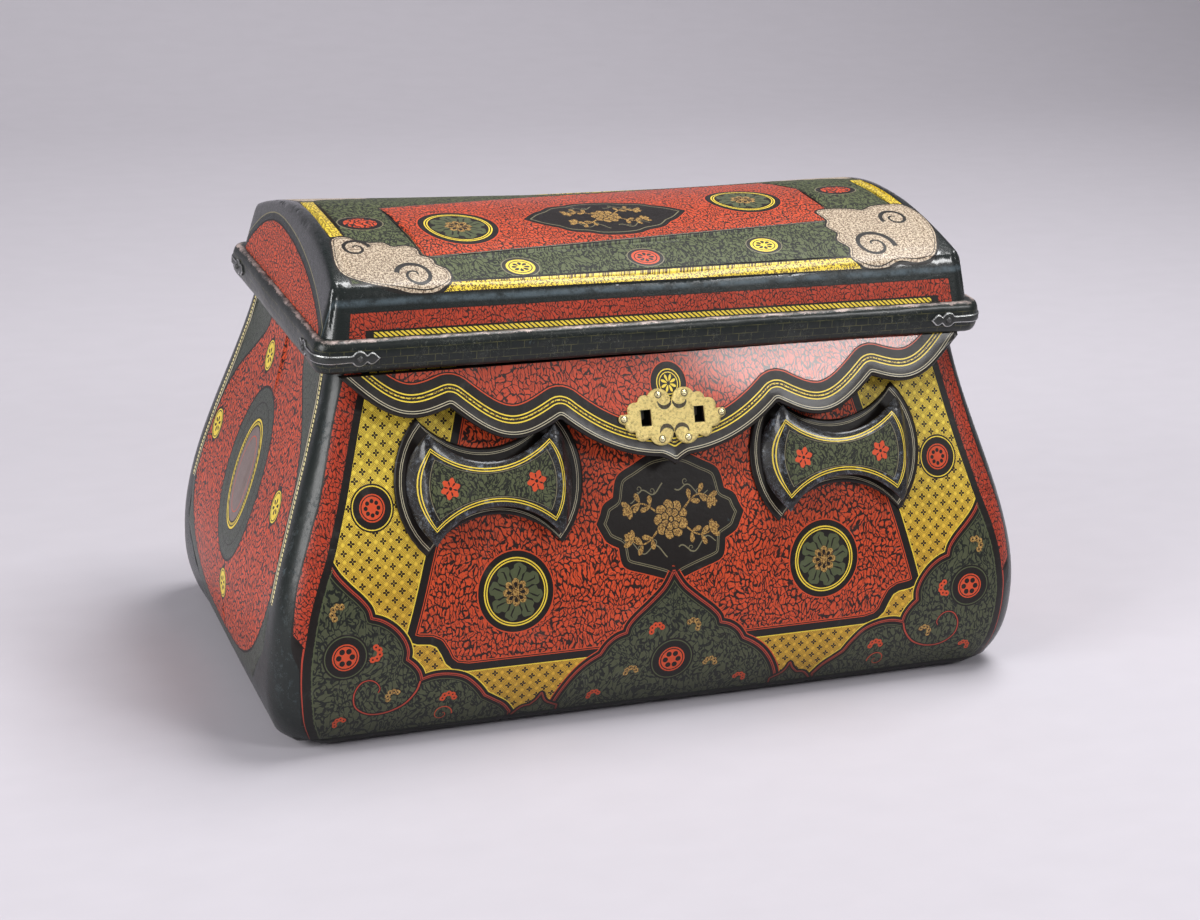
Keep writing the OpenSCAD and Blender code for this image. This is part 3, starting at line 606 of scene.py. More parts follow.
@recipe
def rim_paint(net):
    """Lacquer with a faded fret, chalky where its upper edge is worn, and fine cracks."""
    uv, y = net.uv, net.uv.split()[1]
    size = {"Scale": 1.0, "Mortar Size": 0.3, "Mortar Smooth": 0.3, "Brick Width": 8.5, "Row Height": 4.7}
    fret = net.add("TexBrick", {"Vector": uv + (0, 1.0, 0), **size}, "Fac", offset=0.5, squash=1.0)
    fret = fret * (y.ramp(14, 15) * y.ramp(28, 29, 1, 0)) * uv.noise(9, 4, 0.7).ramp(0.4, 0.62, 0.1, 0.75)
    colour = net.mix(fret, net.tone(LACQUER), (92, 90, 58))
    ragged = y + uv.noise(7, 6, 0.8) * 9.0
    band = ragged.ramp(36.6, 37.3) * ragged.ramp(38.5, 41, 1, 0)
    worn = band * uv.noise(16, 4, 0.7).ramp(0.42, 0.6, 0.1, 1)
    colour = net.mix(worn * 0.85, colour, net.tone(CHALK, 3, 0.5))
    cracks = uv.noise(5, 3, 0.6, 1.0).off(0.5).ramp(0.002, 0.007, 0.4, 0) * uv.noise(20, 2).ramp(0.45, 0.6)
    return net.finish(net.mix(cracks, colour, (150, 150, 138)), rough=0.34, relief=worn * -1.5)


@recipe
def metal(net, colour, dark, rough, grain, spots=0.5, metallic=1.0, dents=0.2):
    rust = net.mm.noise(grain, 6, 0.7).ramp(0.45, 0.7, 0, spots)
    fine = net.mm.noise(grain * 0.3, 5, 0.7)
    height = fine + net.mm.noise(grain * 1.5, 3)
    return net.shade(net.mix(rust, colour, dark), fine * 0.25 + (rough - 0.1), height, dents * MM,
                     Metallic=metallic)


@recipe
def worn_lacquer(net):
    """Green-black lacquer rubbed to blue-grey in places."""
    rub = net.mm.noise(5, 6, 0.8).ramp(0.52, 0.66) * net.mm.noise(38, 3).ramp(0.45, 0.62)
    return net.finish(net.mix(rub * 0.35, net.tone(LACQUER), (92, 112, 118)), rough=0.36, coat=0.25,
                      relief=rub * -0.8)


@recipe
def dome_edge(net, ridge_y):
    """Glossy black lacquer of the lid, rubbed blue-grey along the ridge and lightened there by a painted
    highlight.
    """
    # blue-grey strip along the ridge: rubbing and a painted highlight of the arris
    ridge = abs(net.uv.split()[1]).off(ridge_y).ramp(0.4, 3.2, 1, 0)
    ridge = ridge * net.uv.noise(16, 5, 0.75).ramp(0.36, 0.6, 0.15, 1)
    colour = net.mix(ridge * 0.55, net.tone(LACQUER), (104, 120, 128))
    return net.finish(colour, rough=0.28, coat=0.8, gloss=0.14)


@recipe
def worn_bridge(net):
    """Black leather with pale blue-grey rubbed patches and fine cracks."""
    rub = net.mm.noise(4, 6, 0.8).ramp(0.5, 0.64) * net.mm.noise(16, 3).ramp(0.5, 0.62)
    pale = rub * 0.65 | net.mm.noise(6, 4, 0.7, 1.2).off(0.5).ramp(0.003, 0.009, 0.5, 0) * 0.8
    return net.finish(net.mix(pale, net.tone((20, 18, 17)), (150, 160, 172)), rough=0.36, coat=0.45,
                      gloss=0.12, relief=rub * -0.8)


@recipe
def board(net):
    grain = (net.mm * (0.12, 1.0, 0.5)).noise(6, 6, 0.65, 0.8)
    colour = net.mix(grain.ramp(0.35, 0.65), WOOD, net.mix(0.55, WOOD, INK))
    return net.finish(colour, rough=0.5, coat=0.1, relief=grain * 0.6)


@recipe
def edge_wood(net):
    grain = (net.mm * (0.1, 0.1, 1.0)).noise(2, 6, 0.65, 0.4)
    return net.finish(net.mix(grain.ramp(0.35, 0.65), (52, 42, 34), (26, 21, 18)), rough=0.6, coat=0)


RECIPES = {
    "lacquer": worn_lacquer(), "bridge_black": worn_bridge(), "dome_edge": dome_edge(98), "rim": rim_paint(),
    "ink": plain(INK, coat=0.05), "edge_ink": plain(INK, rough=0.4, coat=0.2),
    # nearly black, dull ink: painted shade for the foot band and for the patch behind the staple slots
    "low_ink": plain((13, 15, 14), rough=0.5, coat=0.0), "hide": plain(HIDE, rough=0.6, coat=0.0),
    "red_line": plain(RED), "red_dull": plain((186, 68, 48)), "yellow_line": plain(YELLOW, wear=0.6),
    "cream_line": plain((196, 188, 160), wear=0.6), "dull_line": plain((130, 124, 96), wear=0.6),
    "olive_plain": plain(OLIVE), "mauve": plain(MAUVE), "stipple": stipple(), "diaper": diaper(9.6),
    "gold_paint": leafy_line((196, 156, 86), (92, 62, 30), 1.5),
    "yellow_fine": leafy_line(YELLOW, (96, 70, 20), 2.0),
    "yellow_rope": bars(YELLOW, 1 / 3.2, 1.2 / 3.2, 0.26, 0.34),
    "bead_line": bars((240, 226, 160), 0, 1 / 2.6, 0.3, 0.4),
    "grey_green": scroll(GREY_GREEN, (42, 46, 41), 2.6, 0.08, 0.6),
    "red_scroll": scroll(RED, (40, 20, 14), 3.5, 0.115, 0.6),
    "red_side": scroll((190, 66, 40), (52, 24, 18), 2.6, 0.09, 0.5),
    "red_top": scroll((214, 80, 42), (58, 28, 18), 2.9, 0.105, 0.6),
    "flap_scroll": scroll((204, 76, 46), (48, 26, 22), 3.5, 0.09, 0.5, coat=0.6, gloss=0.11),
    "green_scroll": scroll((80, 85, 60), (25, 29, 23), 4.6, 0.075, 1.0, 0.15),
    "green_fine": scroll((86, 92, 62), (27, 29, 22), 3.4, 0.075, 1.0, 0.14),
    "green_top": scroll((92, 100, 66), (24, 27, 20), 3.6, 0.08, 1.0, 0.15, rough=0.55, coat=0.0),
    "iron": metal(IRON, (52, 46, 42), 0.36, 3.0, 0.7, 0.9),
    "iron_face": metal((66, 68, 66), (40, 40, 38), 0.3, 3.0, 0.5, 0.6),
    # bright ring round each corner iron: bare metal edge and a painted highlight
    "iron_edge": metal((196, 198, 196), (110, 106, 98), 0.26, 2.0, 0.5, 0.9),
    "rivet_brass": metal((240, 228, 180), (170, 150, 96), 0.24, 3.0, 0.3, 0.9),
    "brass": metal((238, 216, 142), (128, 100, 46), 0.3, 1.8, 0.7, 0.75, 0.9),
    "brass_dark": metal((92, 86, 72), (58, 50, 38), 0.5, 2.0, 0.6, 0.6),
    "board": board(), "edge_wood": edge_wood(),
}
made = {}


def material(name):
    if name not in made:
        made[name] = RECIPES[name](Net(name))
    return made[name]


# ---------------------------------------------------------------- ornaments
LOBE = spline([(0.2, 0), (0.32, 0.12), (0.44, 0.15), (0.5, 0.23), (0.61, 0.25), (0.67, 0.16), (0.72, 0.06),
               (0.67, -0.07), (0.58, -0.09), (0.52, -0.18), (0.38, -0.13)], 3, closed=True)
VEIN = stroke([(0.34, 0.0), (0.46, 0.05), (0.58, 0.09), (0.64, 0.04)], [0.01, 0.045, 0.04, 0.01],
              "ink").outline


def around(x, y, count, shapes, turn=0.0, scale=1.0, sy=1.0):
    """Shapes drawn towards x, repeated in turn round a point."""
    out = []
    for i in range(count):
        for slot, shape in shapes:
            turned = shift(shape, scale=scale, turn=turn + 2 * PI * i / count)
            out.append(Zone(slot, [(x + px, y + py * sy) for px, py in turned]))
    return out


def roundel_green(x, y, r, sy=1.0):
    """Black ring, double yellow ring, green leaves round a gold flower."""
    out = ovals(x, y, [(q, q * sy, slot) for q, slot in (
        (r + 0.7, "red_line"), (r, "ink"), (r * 0.85, "yellow_line"), (r * 0.815, "ink"),
        (r * 0.785, "yellow_line"), (r * 0.755, "ink"))])
    out += around(x, y, 8, [("olive_plain", LOBE), ("ink", VEIN)], 0.1, r, sy)
    for k, slot in ((1.0, "gold_paint"), (0.55, "ink")):
        out += around(x, y, 8, [(slot, petal(0.27 * k, 0.085 * k, 0.08 + 0.05 * (1 - k)))], 0, r, sy)
    return out + ovals(x, y, [(r * 0.09, r * 0.09 * sy, "gold_paint")])


def roundel_red(x, y, r, ring="yellow_line", petals=8):
    """Thin ring, black band, red ring and a red flower."""
    parts = ((1.06, "ink"), (0.98, ring), (0.93, "ink"), (0.62, "red_line"), (0.56, "ink"),
             (0.51, "red_line"))
    return ovals(x, y, [(r * k, r * k, slot) for k, slot in parts]) \
        + [Zone("ink", disc(*p, r * 0.8 / petals, n=9)) for p in disc(x, y, r * 0.31, n=petals)]


def half_flower(x, y, r, slot, turn):
    """Kidney-shaped half blossom."""
    ring = [(r * (0.66 * math.cos(a) - 0.3), r * 0.72 * math.sin(a)) for a in np.linspace(-1.5, 1.5, 5)]
    return [Zone(kind, disc(*p, r * part, n=n)) for part, kind, n in ((0.36, slot, 10), (0.12, "ink", 6))
            for p in shift(ring, x, y, 1, turn)]


def blossom(x, y, r, slot, petals, turn):
    """Small loose flower."""
    return [Zone(slot, wavy_disc(x, y, r, petals, 0.2, turn)),
            *around(x, y, petals, [("ink", petal(r * 0.5, r * 0.09, r * 0.3))], turn + PI / petals),
            Zone("ink", disc(x, y, r * 0.2, n=10))]


def swirl(x, y, r, slot, turns, width, start, way=1):
    """Spiral line, thick at the outside."""
    t = np.linspace(0, 1, 30)
    a, k = start + way * 2 * PI * turns * t, r * (0.12 + 0.88 * t ** 0.8)
    return [stroke(np.stack([x + k * np.cos(a), y + k * np.sin(a)], 1), width * (0.35 + 0.65 * t), slot)]


def spray(x, y, s=1.0):
    """Generic golden blossom between leafy tendrils."""
    out = []
    for way in (-1, 1):
        t = np.linspace(0, 1, 19)
        for reach, high, sway in ((25, -19, 3.2), (22, 19, -2.4)):
            up = high * (1 - 0.3 * t) + sway * np.sin(9 * t + way)
            line = np.stack([x + way * s * (4 + reach * t), y + s * up], 1)
            out.append(stroke(line, s * (0.8 - 0.3 * t), "dull_line"))
            for k in (6, 13):
                out += swirl(*(line[k] + (0, 2.0 * s)), 2.2 * s, "dull_line", 1.1, 0.6 * s, 4.7, way)
        t = np.linspace(0, 1, 15)
        for turn in (-1, 1):
            sway = turn * s * (3 + 10 * np.sin(2.6 * t)) * (1 if way * turn > 0 else 0.8)
            line = np.stack([x + way * s * (7 + 22 * t), y + sway], 1)
            out.append(stroke(line, s * (1.3 - 0.8 * t), "gold_paint"))
            for k in (4, 8, 12):
                for bend in (-0.9, 0.9):
                    a = math.atan2(*(line[k] - line[k - 1])[::-1]) + bend
                    out.append(Zone("gold_paint", shift(petal(6.5 * s, 1.5 * s, 0.4), *line[k], 1, a)))
            out.append(Zone("gold_paint", wavy_disc(*line[-1], 2.6 * s, 5, 0.18)))
    for count, turn, black, gold in ((9, PI / 9, (10.6, 3.9, 1.5), (9.6, 3.1, 2.0)),
                                     (7, 0, (6, 2.6, 1.0), (5.2, 1.9, 1.4))):
        out += around(x, y, count, [("ink", petal(*black)), ("gold_paint", petal(*gold))], turn, s)
    return out + [Zone("ink", disc(x, y, 2.2 * s)), Zone("gold_paint", disc(x, y, 1.4 * s))]


# ---------------------------------------------------------------- body
CORNER_LAPPET = chain([(219, 122), (214, 113), (207, 105), (200, 98), (195.5, 92), (194, 86.5)],
                      [(187, 84), (180, 79), (174.5, 72), (172, 65), (172.5, 59)],
                      [(168, 55), (164.5, 50), (163, 44.5)],
                      [(155, 46.5), (145, 46), (135, 42.5), (127, 35), (122, 28)],
                      [(116, 24), (109, 19), (104, 12.5)])
CENTRE_LAPPET = chain([(0, 95), (6, 86), (15, 78), (25, 70), (30, 64.5), (31.5, 60)],
                      [(38, 58), (44, 53.5), (48, 47.5)], [(56, 43), (63, 37), (69, 29), (74, 19), (76.5, 9)])
OGEE = chain([(104, 6), (97, 14.5), (91, 16)], [(87, 20), (84.5, 24.5)], [(81, 17.5), (73, 13)], n=4)
FIELD = [(131, 204), (137, 183), (160, 115), (172.5, 74), (171, 70), (166, 68), (158, 67), (154, 65),
         (151, 60), (148, 53.5), (143, 49), (134, 47)]
MEDALLION = chain([(0, 165), (12, 163.2), (23.5, 158)], [(33.5, 152.5), (37, 141)],
                  [(43.5, 137.5), (46.2, 132), (49, 127)], [(46.2, 121.5), (43, 116.5), (35.5, 112.5)],
                  [(33, 101.5), (22, 97)], [(12.5, 94), (5, 91), (0, 86)])
BAND_OUT = spline([(200, TOP_Z), (203, 214), (208, 198), (214, 177), (220, 155), (226, 140), (232, 124),
                   (238, 107), (241, 91), (242.5, 76), (241, 67), (238, 60), (237.5, 45), (235, 22),
                   (229, 10)], 3)
BAND_IN = [(188, TOP_Z), (191.5, 213), (197, 194), (202, 176), (208, 155), (213.5, 138), (218.5, 123),
           (225, 107), (230.5, 90), (234, 73), (235.5, 62), (235.5, 45), (233, 24), (228, 10)]
CURL = spline([(163.5, 44), (166, 37), (173, 29), (184, 24.5), (195, 25), (203, 31), (204.5, 39.5),
               (201, 46.5), (195.5, 48.5), (191, 46.5), (188.5, 42.5), (189.5, 39.5)])
LENS = chain([(0, 1), (0.62, 0.45), (0.72, 0), (0.62, -0.45), (0, -1)],
             [(-0.62, -0.45), (-0.72, 0), (-0.62, 0.45), (0, 1)])[:-1]
FOOT_ROWS, WALL_ROWS = np.linspace(V_LOW, FOOT_Z, 7), np.linspace(FOOT_Z, MOUTH_Z, 49)


def lappet(outline, first, k=1.0):
    """Green leaf-shaped patch with a double red edge between black bands."""
    return bands(outline, 3.9 * k, first, 3.3 * k, "ink", 1.3 * k, "red_dull", 0.55 * k, "ink", 0.1 * k,
                 "red_dull", -0.35 * k, "ink", -2.4 * k, "olive_plain", -2.9 * k, "ink", -3.4 * k,
                 "green_scroll")


def front_zones(back=False):
    """Front, in (x, z); the back is plainer."""
    side, beyond, middle = spline(BAND_IN, 3), [(OUT_X, 4), (OUT_X, TOP_Z)], [(-1, 8), (-1, TOP_Z)]
    inner = spline(slide(BAND_IN[:9], -4.2) + [(227, 60), (200, 8)], 3)
    z = both([Zone("ink", side + [(-1, 0), (-1, TOP_Z)]), Zone("yellow_line", inner + middle),
              Zone("diaper", slide(inner, -0.7) + middle)])
    field = resample([(131, TOP_Z), *FIELD, *mirror(FIELD), (-131, TOP_Z)], 8)
    z += bands(field, 0.7, "yellow_line", 0, "ink", -5.0, "red_line", -5.5, "ink", -6.2, "red_line",
               -6.8, "red_scroll")
    z += both(roundel_green(103.5, 93, 24) + roundel_red(189, 148, 12.6))
    width = np.linspace(1.1, 0.5, len(CURL))
    z += both(lappet(CORNER_LAPPET + [(104, LOW_Z), (OUT_X, LOW_Z), (OUT_X, 122)], "yellow_line")
              + [stroke(CURL, 2.6 * width, "ink"), stroke(CURL, width, "red_dull")]
              + roundel_red(210, 65, 13.4, "olive_plain", 6) + half_flower(215, 93, 5.5, "gold_paint", 0.6)
              + half_flower(191, 65, 5.5, "red_line", 3.4) + half_flower(181, 37, 5.0, "gold_paint", 0.9)
              + half_flower(145, 31, 5.2, "red_line", 1.6) + swirl(148, 18, 6.5, "red_line", 1.2, 0.8, 2.0)
              + half_flower(213, 22, 4.4, "red_line", 1.0))
    if not back:
        # black patch behind the staple slots: painted shade seen through them
        z += [Zone("low_ink", disc(2, LOCK_Z - 2, 32, 13))]
        z += bands(MEDALLION + mirror(MEDALLION)[1:-1], 0.9, "red_line", 0.35, "ink", 0, "ink", -3.9,
                   "dull_line", -4.35, "ink", -5.0, "dull_line", -5.4, "ink")
        z += spray(0, 126)
    lap = CENTRE_LAPPET + [(76.5, LOW_Z)]
    z += lappet(lap + mirror(lap), "red_line")
    z += both(lappet(OGEE + [(73, LOW_Z), (104, LOW_Z)], "ink", 0.6))
    z += roundel_red(0, 38.5, 14, "olive_plain", 6)
    z += both(half_flower(27, 34, 5.0, "gold_paint", 1.4) + half_flower(50, 19, 4.6, "red_line", 1.2))
    z += half_flower(-12, 61.5, 5.2, "red_line", 1.9) + half_flower(14, 61.5, 5.2, "gold_paint", 0.9)
    strip = slide(side, -5.7, high=118)
    line = slide(side, 0.8, high=78)
    z += both([Zone("olive_plain", strip + slide(strip[::-1], 0.6)), Zone("ink", slide(side, -4.7) + beyond),
               Zone("lacquer", BAND_OUT + beyond),
               Zone("red_side", slide(BAND_OUT, -1.2, 78) + slide(side[::-1], 0.2, 70)),
               stroke(line, np.linspace(1.1, 0.3, len(line)), "red_dull")])
    # nearly black band along the foot: black lacquer with painted shade under the rounding
    return z + [Zone("low_ink", box(-OUT_X, LOW_Z, OUT_X, 9.5))]


def end_zones():
    """Left end, in (mid_y - y, z); the right end is its mirror image."""
    top = lambda v: float(side_reach(v, True)[0])
    edge = [(top(v) - 1.5, v) for v in (TOP_Z, 200, 170, 140, 110, 90)]
    z = both([Zone("grey_green", [(-1, TOP_Z), *slide(edge, -5), (top(60) - 9, 60), (70, 26), (-1, 16)])])
    for start, end, slot in ((1, 3.4, "bead_line"), (3.4, 4.6, "ink"), (4.6, 6.0, "cream_line"),
                             (6.0, 7.2, "ink")):
        z += both([Zone(slot, slide(edge, -start) + slide(edge[::-1], -end))])
    half = chain([(38, TOP_Z), (42, 207), (58, 190), (76, 172), (88, 152), (94, 130), (98, 108), (99, 92)],
                 [(94, 76), (84, 60), (68, 45), (40, 33), (0, 29)], n=4)
    z += bands(half + mirror(half), 1.6, "ink", 0, "red_scroll")
    z += ovals(-7, 126, (
        (36, 54, "ink"), (34.5, 52.3, "grey_green"), (28, 44, "ink"), (27.4, 43.2, "grey_green"),
        (20.6, 34.6, "ink"), (20, 33.8, "yellow_line"), (18.9, 32.4, "ink"), (18.2, 31.6, "yellow_rope"),
        (17, 30, "ink"), (16, 29, "mauve"), (12.5, 23.5, "red_line"), (12, 22.9, "mauve")), 56)
    for x, y in ((-26, 194), (-2, 58), (-84, 131), (66, 133)):
        z.append(Zone("ink", shift(LENS, x, y, 12.5)))
        z += ovals(x, y, ((7.4, 9.4, "yellow_line"), (6.6, 8.5, "ink"), (6.0, 7.8, "yellow_line")))
        z += around(x, y, 6, [("ink", petal(3.6, 1.0, 1.4))], 0.5)
    return z


def level(v, ends):
    """Points along a wall at v, close together round its corners."""
    along, r = side_reach(v, ends)
    bend = along + r * np.linspace(0.08, 0.72, 8)
    return np.concatenate([-bend[::-1], np.linspace(-along, along, 70), bend])


def wall_domain(ends):
    vs = np.concatenate([FOOT_ROWS[:-1], WALL_ROWS])
    along, r = side_reach(vs, ends)
    right = list(zip(along + r * PI / 4, vs))
    top, low = ([(x, v) for x in level(v, ends)] for v in (MOUTH_Z, V_LOW))
    return right + top[::-1] + mirror(right) + low


def wall_grid(ends):
    """Points inside a wall, with close rows round the corners and the foot."""
    along, r = side_reach(WALL_ROWS, ends)
    rows = [hex_grid((-OUT_X, FOOT_Z + 1), (OUT_X, MOUTH_Z - 1), 5.0)]
    rows += [np.stack([way * (along + r * t), WALL_ROWS], 1) for t in (0.02, 0.14, 0.26, 0.38, 0.5, 0.64)
             for way in (-1, 1)]
    reach = float(side_reach(FOOT_Z, ends)[0])
    s = np.arange(-reach, reach, 6.0)
    return np.concatenate(rows + [np.stack([s, np.full(len(s), v)], 1) for v in FOOT_ROWS[1:-1]])


def body_shell():
    b = Build()
    for side, zones in (("front", front_zones()), ("right", [z.mirrored() for z in end_zones()]),
                        ("back", front_zones(True)), ("left", end_zones())):
        ends = side in ("left", "right")
        v, f, slot = triangulate(wall_domain(ends), zones, wall_grid(ends))
        b.add(wall(side, *v.T), f, [s or "lacquer" for s in slot], v)
        for v, offs in ((MOUTH_Z, (0, -SKIN_T)), (V_LOW, (-SKIN_T, 0))):
            xs = level(v, ends)
            b.sheet([wall(side, xs, np.full(len(xs), v), off) for off in offs], "ink",
                    [[(x, v + off) for x in xs] for off in offs])
    b.finish("body_shell", "body", "painted_leather", ["body_skin"], 60)


# ---------------------------------------------------------------- flap
BEAD_D = (0, 0.25, 0.7, 1.3, 2, 2.7, 3.6, 4.6, 5.8, 7)
BEAD_UP = (-2.4, -1.3, -0.6, 0, 0.4, 0.6, 0.6, 0.4, 0.15, 0)
FLAP_FLOWER_Z = 208


def flap_edge(x):
    d = np.abs(x)
    t1, t2 = d / NOTCH1_X, (d - NOTCH1_X) / (NOTCH2_X - NOTCH1_X)
    t3 = (d - NOTCH2_X) / (FLAP_HALF - NOTCH2_X)
    big = FLAP_LOBE_Z + (NOTCH1_Z - FLAP_LOBE_Z) * t1 ** 2.2 \
        - (FLAP_LOBE_Z - FLAP_TIP_Z) * np.maximum(0, 1 - t1 / 0.14) ** 1.5
    middle = NOTCH1_Z + (NOTCH2_Z - NOTCH1_Z) * t2 - LOBE2_DEEP * np.sin(PI * t2)
    end = NOTCH2_Z + (FLAP_END_Z - NOTCH2_Z) * t3 - LOBE3_DEEP * np.sin(PI * t3)
    return np.where(d < NOTCH1_X, big, np.where(d < NOTCH2_X, middle, end))


def flap_face(z):
    u = (RIM_Z - z) / (RIM_Z - FLAP_TIP_Z)
    top, low = front_y(RIM_Z) - FLAP_TOP_GAP, front_y(FLAP_TIP_Z) - FLAP_LOW_GAP
    return top + (low - top) * u - FLAP_BULGE * np.sin(PI * u)


def above(d):
    """What lies more than d inside the scalloped edge."""
    x, t = np.linspace(-212, 212, 284), np.linspace(-1, 1, 61) * d
    near = flap_edge(np.clip(x[:, None] + t, -FLAP_HALF, FLAP_HALF))
    return [*zip(x, (near + np.sqrt(np.maximum(d * d - t * t, 0))).max(1)), (212, 250), (-212, 250)]


def slots(z, step):
    """Outlines of the two staple slots at height z."""
    w, h = SLOT_W / 2, SLOT_H / 2
    return [resample(box(x - w, z - h, x + w, z + h), step) for x in (-SLOT_X, SLOT_X)]


def flap():
    xs = sorted(set(np.round(np.arange(-FLAP_HALF, FLAP_HALF + 0.1, 1.6), 3)) | {0}
                | {s * x for x in (1, NOTCH1_X, NOTCH2_X) for s in (-1, 1)})
    edge = [(x, float(flap_edge(x))) for x in xs]
    domain = edge + resample([(FLAP_HALF, RIM_Z), (-FLAP_HALF, RIM_Z)], 6)[:-1]
    zones = [Zone(slot, above(d)) for d, slot in (
        (0.4, ""), (1.0, ""), (1.9, ""), (3.0, "cream_line"), (3.4, "edge_ink"), (4.2, "cream_line"),
        (4.6, "edge_ink"), (8.8, "yellow_line"), (9.5, "ink"), (10.6, "yellow_fine"), (11.4, "ink"),
        (12.5, "yellow_line"), (13.2, "ink"), (18.2, "red_line"), (18.8, "ink"), (19.5, "flap_scroll"))]
    zones += ovals(0, FLAP_FLOWER_Z, [(r, r, slot) for r, slot in ( (12.4, "red_line"), (11.8, "ink"),
                                                                   (8.0, "yellow_line"), (7.4, "ink"),
                                                                   (6.3, "yellow_line"), (5.8, "ink"))])
    zones += around(0, FLAP_FLOWER_Z, 8, [("yellow_line", petal(4.2, 0.75, 1.0))], PI / 8)
    flat = triangulate(domain, zones, hex_grid((-FLAP_HALF, FLAP_TIP_Z), (FLAP_HALF, RIM_Z), 3.4),
                       slots(LOCK_Z, 2.5))

    def face(x, z):
        d = line_dist(np.stack([x, z], 1), edge, False)
        k = np.clip((RIM_Z - flap_edge(x)) / 16, 0.2, 1)
        return np.stack([x, flap_face(z) - FLAP_T - np.interp(d / k, BEAD_D, BEAD_UP), z], 1)

    b = Build()
    b.slab(flat, face, lambda x, z: np.stack([x, flap_face(z), z], 1), "edge_ink", "hide", "edge_ink")
    b.finish("flap", "lid", "flap_leather", ["front_flap"], 50)


# ---------------------------------------------------------------- strap loops
def arc_r(c, h):
    return (c * c + h * h) / (2 * h)


def bow_tie(cx, cz, end, waist):
    top_r, end_r = arc_r(cx, cz - waist), arc_r(cz, end - cx)
    turn = math.asin(min(1, cz / end_r))
    right = [(end - end_r + end_r * math.cos(a), end_r * math.sin(a)) for a in np.linspace(-turn, turn, 14)]
    top = [(x, waist + top_r - math.sqrt(top_r ** 2 - x * x)) for x in np.linspace(cx, -cx, 28)][1:-1]
    return right + top + [(-x, -y) for x, y in right + top]


def bow(b):
    """Bow-tie outline b inside the plate's edge."""
    return bow_tie(LOOP_CX - 0.5 * b, LOOP_CZ - b, LOOP_HALF - b, LOOP_WAIST - 0.85 * b)


def under(q):
    """Height of the bridge's underside."""
    return LOOP_PLATE_T + LOOP_SPACE * fade((LOOP_HALF - LOOP_BORDER - np.abs(q[:, 0])) / BRIDGE_RAMP)


def loop_map(side, lift):
    """Places flat loop coordinates on the front, with lift away from it."""
    def place(x, q):
        z, px, high = LOOP_Z + q, side * LOOP_X + x, lift(np.stack([x, q], 1))
        a = lean(front_y, z)
        return np.stack([px, front_face(px, z) - SEAT - high * np.cos(a), z + 0.55 * high * np.sin(a)], 1)
    return place


def strap_loop(side, name):
    edge = bow(0)
    zones = [Zone(slot, bow(d)) for d, slot in ((0.6, ""), (1.4, ""), (2.9, "cream_line"), (3.3, "ink"),
                                                (4.0, "cream_line"), (4.4, "ink"))]
    flat = triangulate(resample(edge, 3), zones, hex_grid((-60, -39), (60, 39), 4))
    thin = lambda q: LOOP_PLATE_T - 0.9 * (1 - np.clip(line_dist(q, edge) / 1.4, 0, 1)) ** 2
    b = Build()
    b.slab(flat, loop_map(side, thin), loop_map(side, lambda q: -0.15), "ink", "hide", "ink")
    b.finish("loop_base_" + name, "body", "loop_leather", ["loop_plate_" + name], 50)

    rim_line = bow(LOOP_BORDER)
    zones = [Zone("", bow(LOOP_BORDER + d)) for d in (0.25, 0.7, 1.4, 2.4, 3.6)]
    for slot, *size in [(slot, 37.4, 22.8 - d, 45.8 - d, 9.4 - d) for d,
                        slot in ( (0, "yellow_line"), (0.65, "bridge_black"), (1.5, "yellow_line"),
                                 (2.1, "bridge_black"))] + [ ("dull_line", 35.3, 16.6, 39.9, 6.8),
                                                            ("ink", 35, 16.2, 39.5, 6.4),
                                                            ("green_fine", 34.7, 15.7, 39, 5.9)]:
        zones.append(Zone(slot, slide(bow_tie(*size), -2)))
    for s in (-1, 1):
        zones += blossom(27 * s - 2, 0, 5.2, "red_line", 6, 0.2 + s)
    flat = triangulate(resample(rim_line, 2.5), zones, hex_grid((-53, -32), (53, 32), 2.4))

    def top(q):
        near = 1 - np.clip(line_dist(q, rim_line) / 6.5, 0, 1)
        return under(q) + BRIDGE_T - 2.7 * (1 - np.sqrt(1 - near ** 2))

    b = Build()
    b.slab(flat, loop_map(side, top), loop_map(side, under), "bridge_black", "hide", "bridge_black")
    b.finish("loop_bridge_" + name + "_skin", "body", "loop_leather", ["loop_bridge_" + name], 60)


# ---------------------------------------------------------------- lock plate
LOBES = [(s * x, y, r) for x, y, r in ((8.4, 9.4, 8), (17.7, 9.6, 4.4), (24.4, 5, 4.9), (26.6, -3.4, 5),
                                       (20.8, -9.6, 4.5), (8.6, -9.4, 8), (32.3, 0.2, 3.1)) for s in (1, -1)]


def plate_outline():
    """Outer edge of the joined lobes, seen from the middle."""
    out = []
    for ux, uy in disc(0, 0, 1, n=300):
        reach = min(23 / (abs(ux) + 1e-9), 10 / (abs(uy) + 1e-9))
        if abs(uy) * 32 <= abs(ux) * 1.7:
            reach = 32
        for x, y, r in LOBES:
            b = ux * x + uy * y
            rest = r * r - (x * x + y * y - b * b)
            if rest > 0 and b > 0:
                reach = max(reach, b + math.sqrt(rest))
        out.append((reach * ux, reach * uy))
    return out


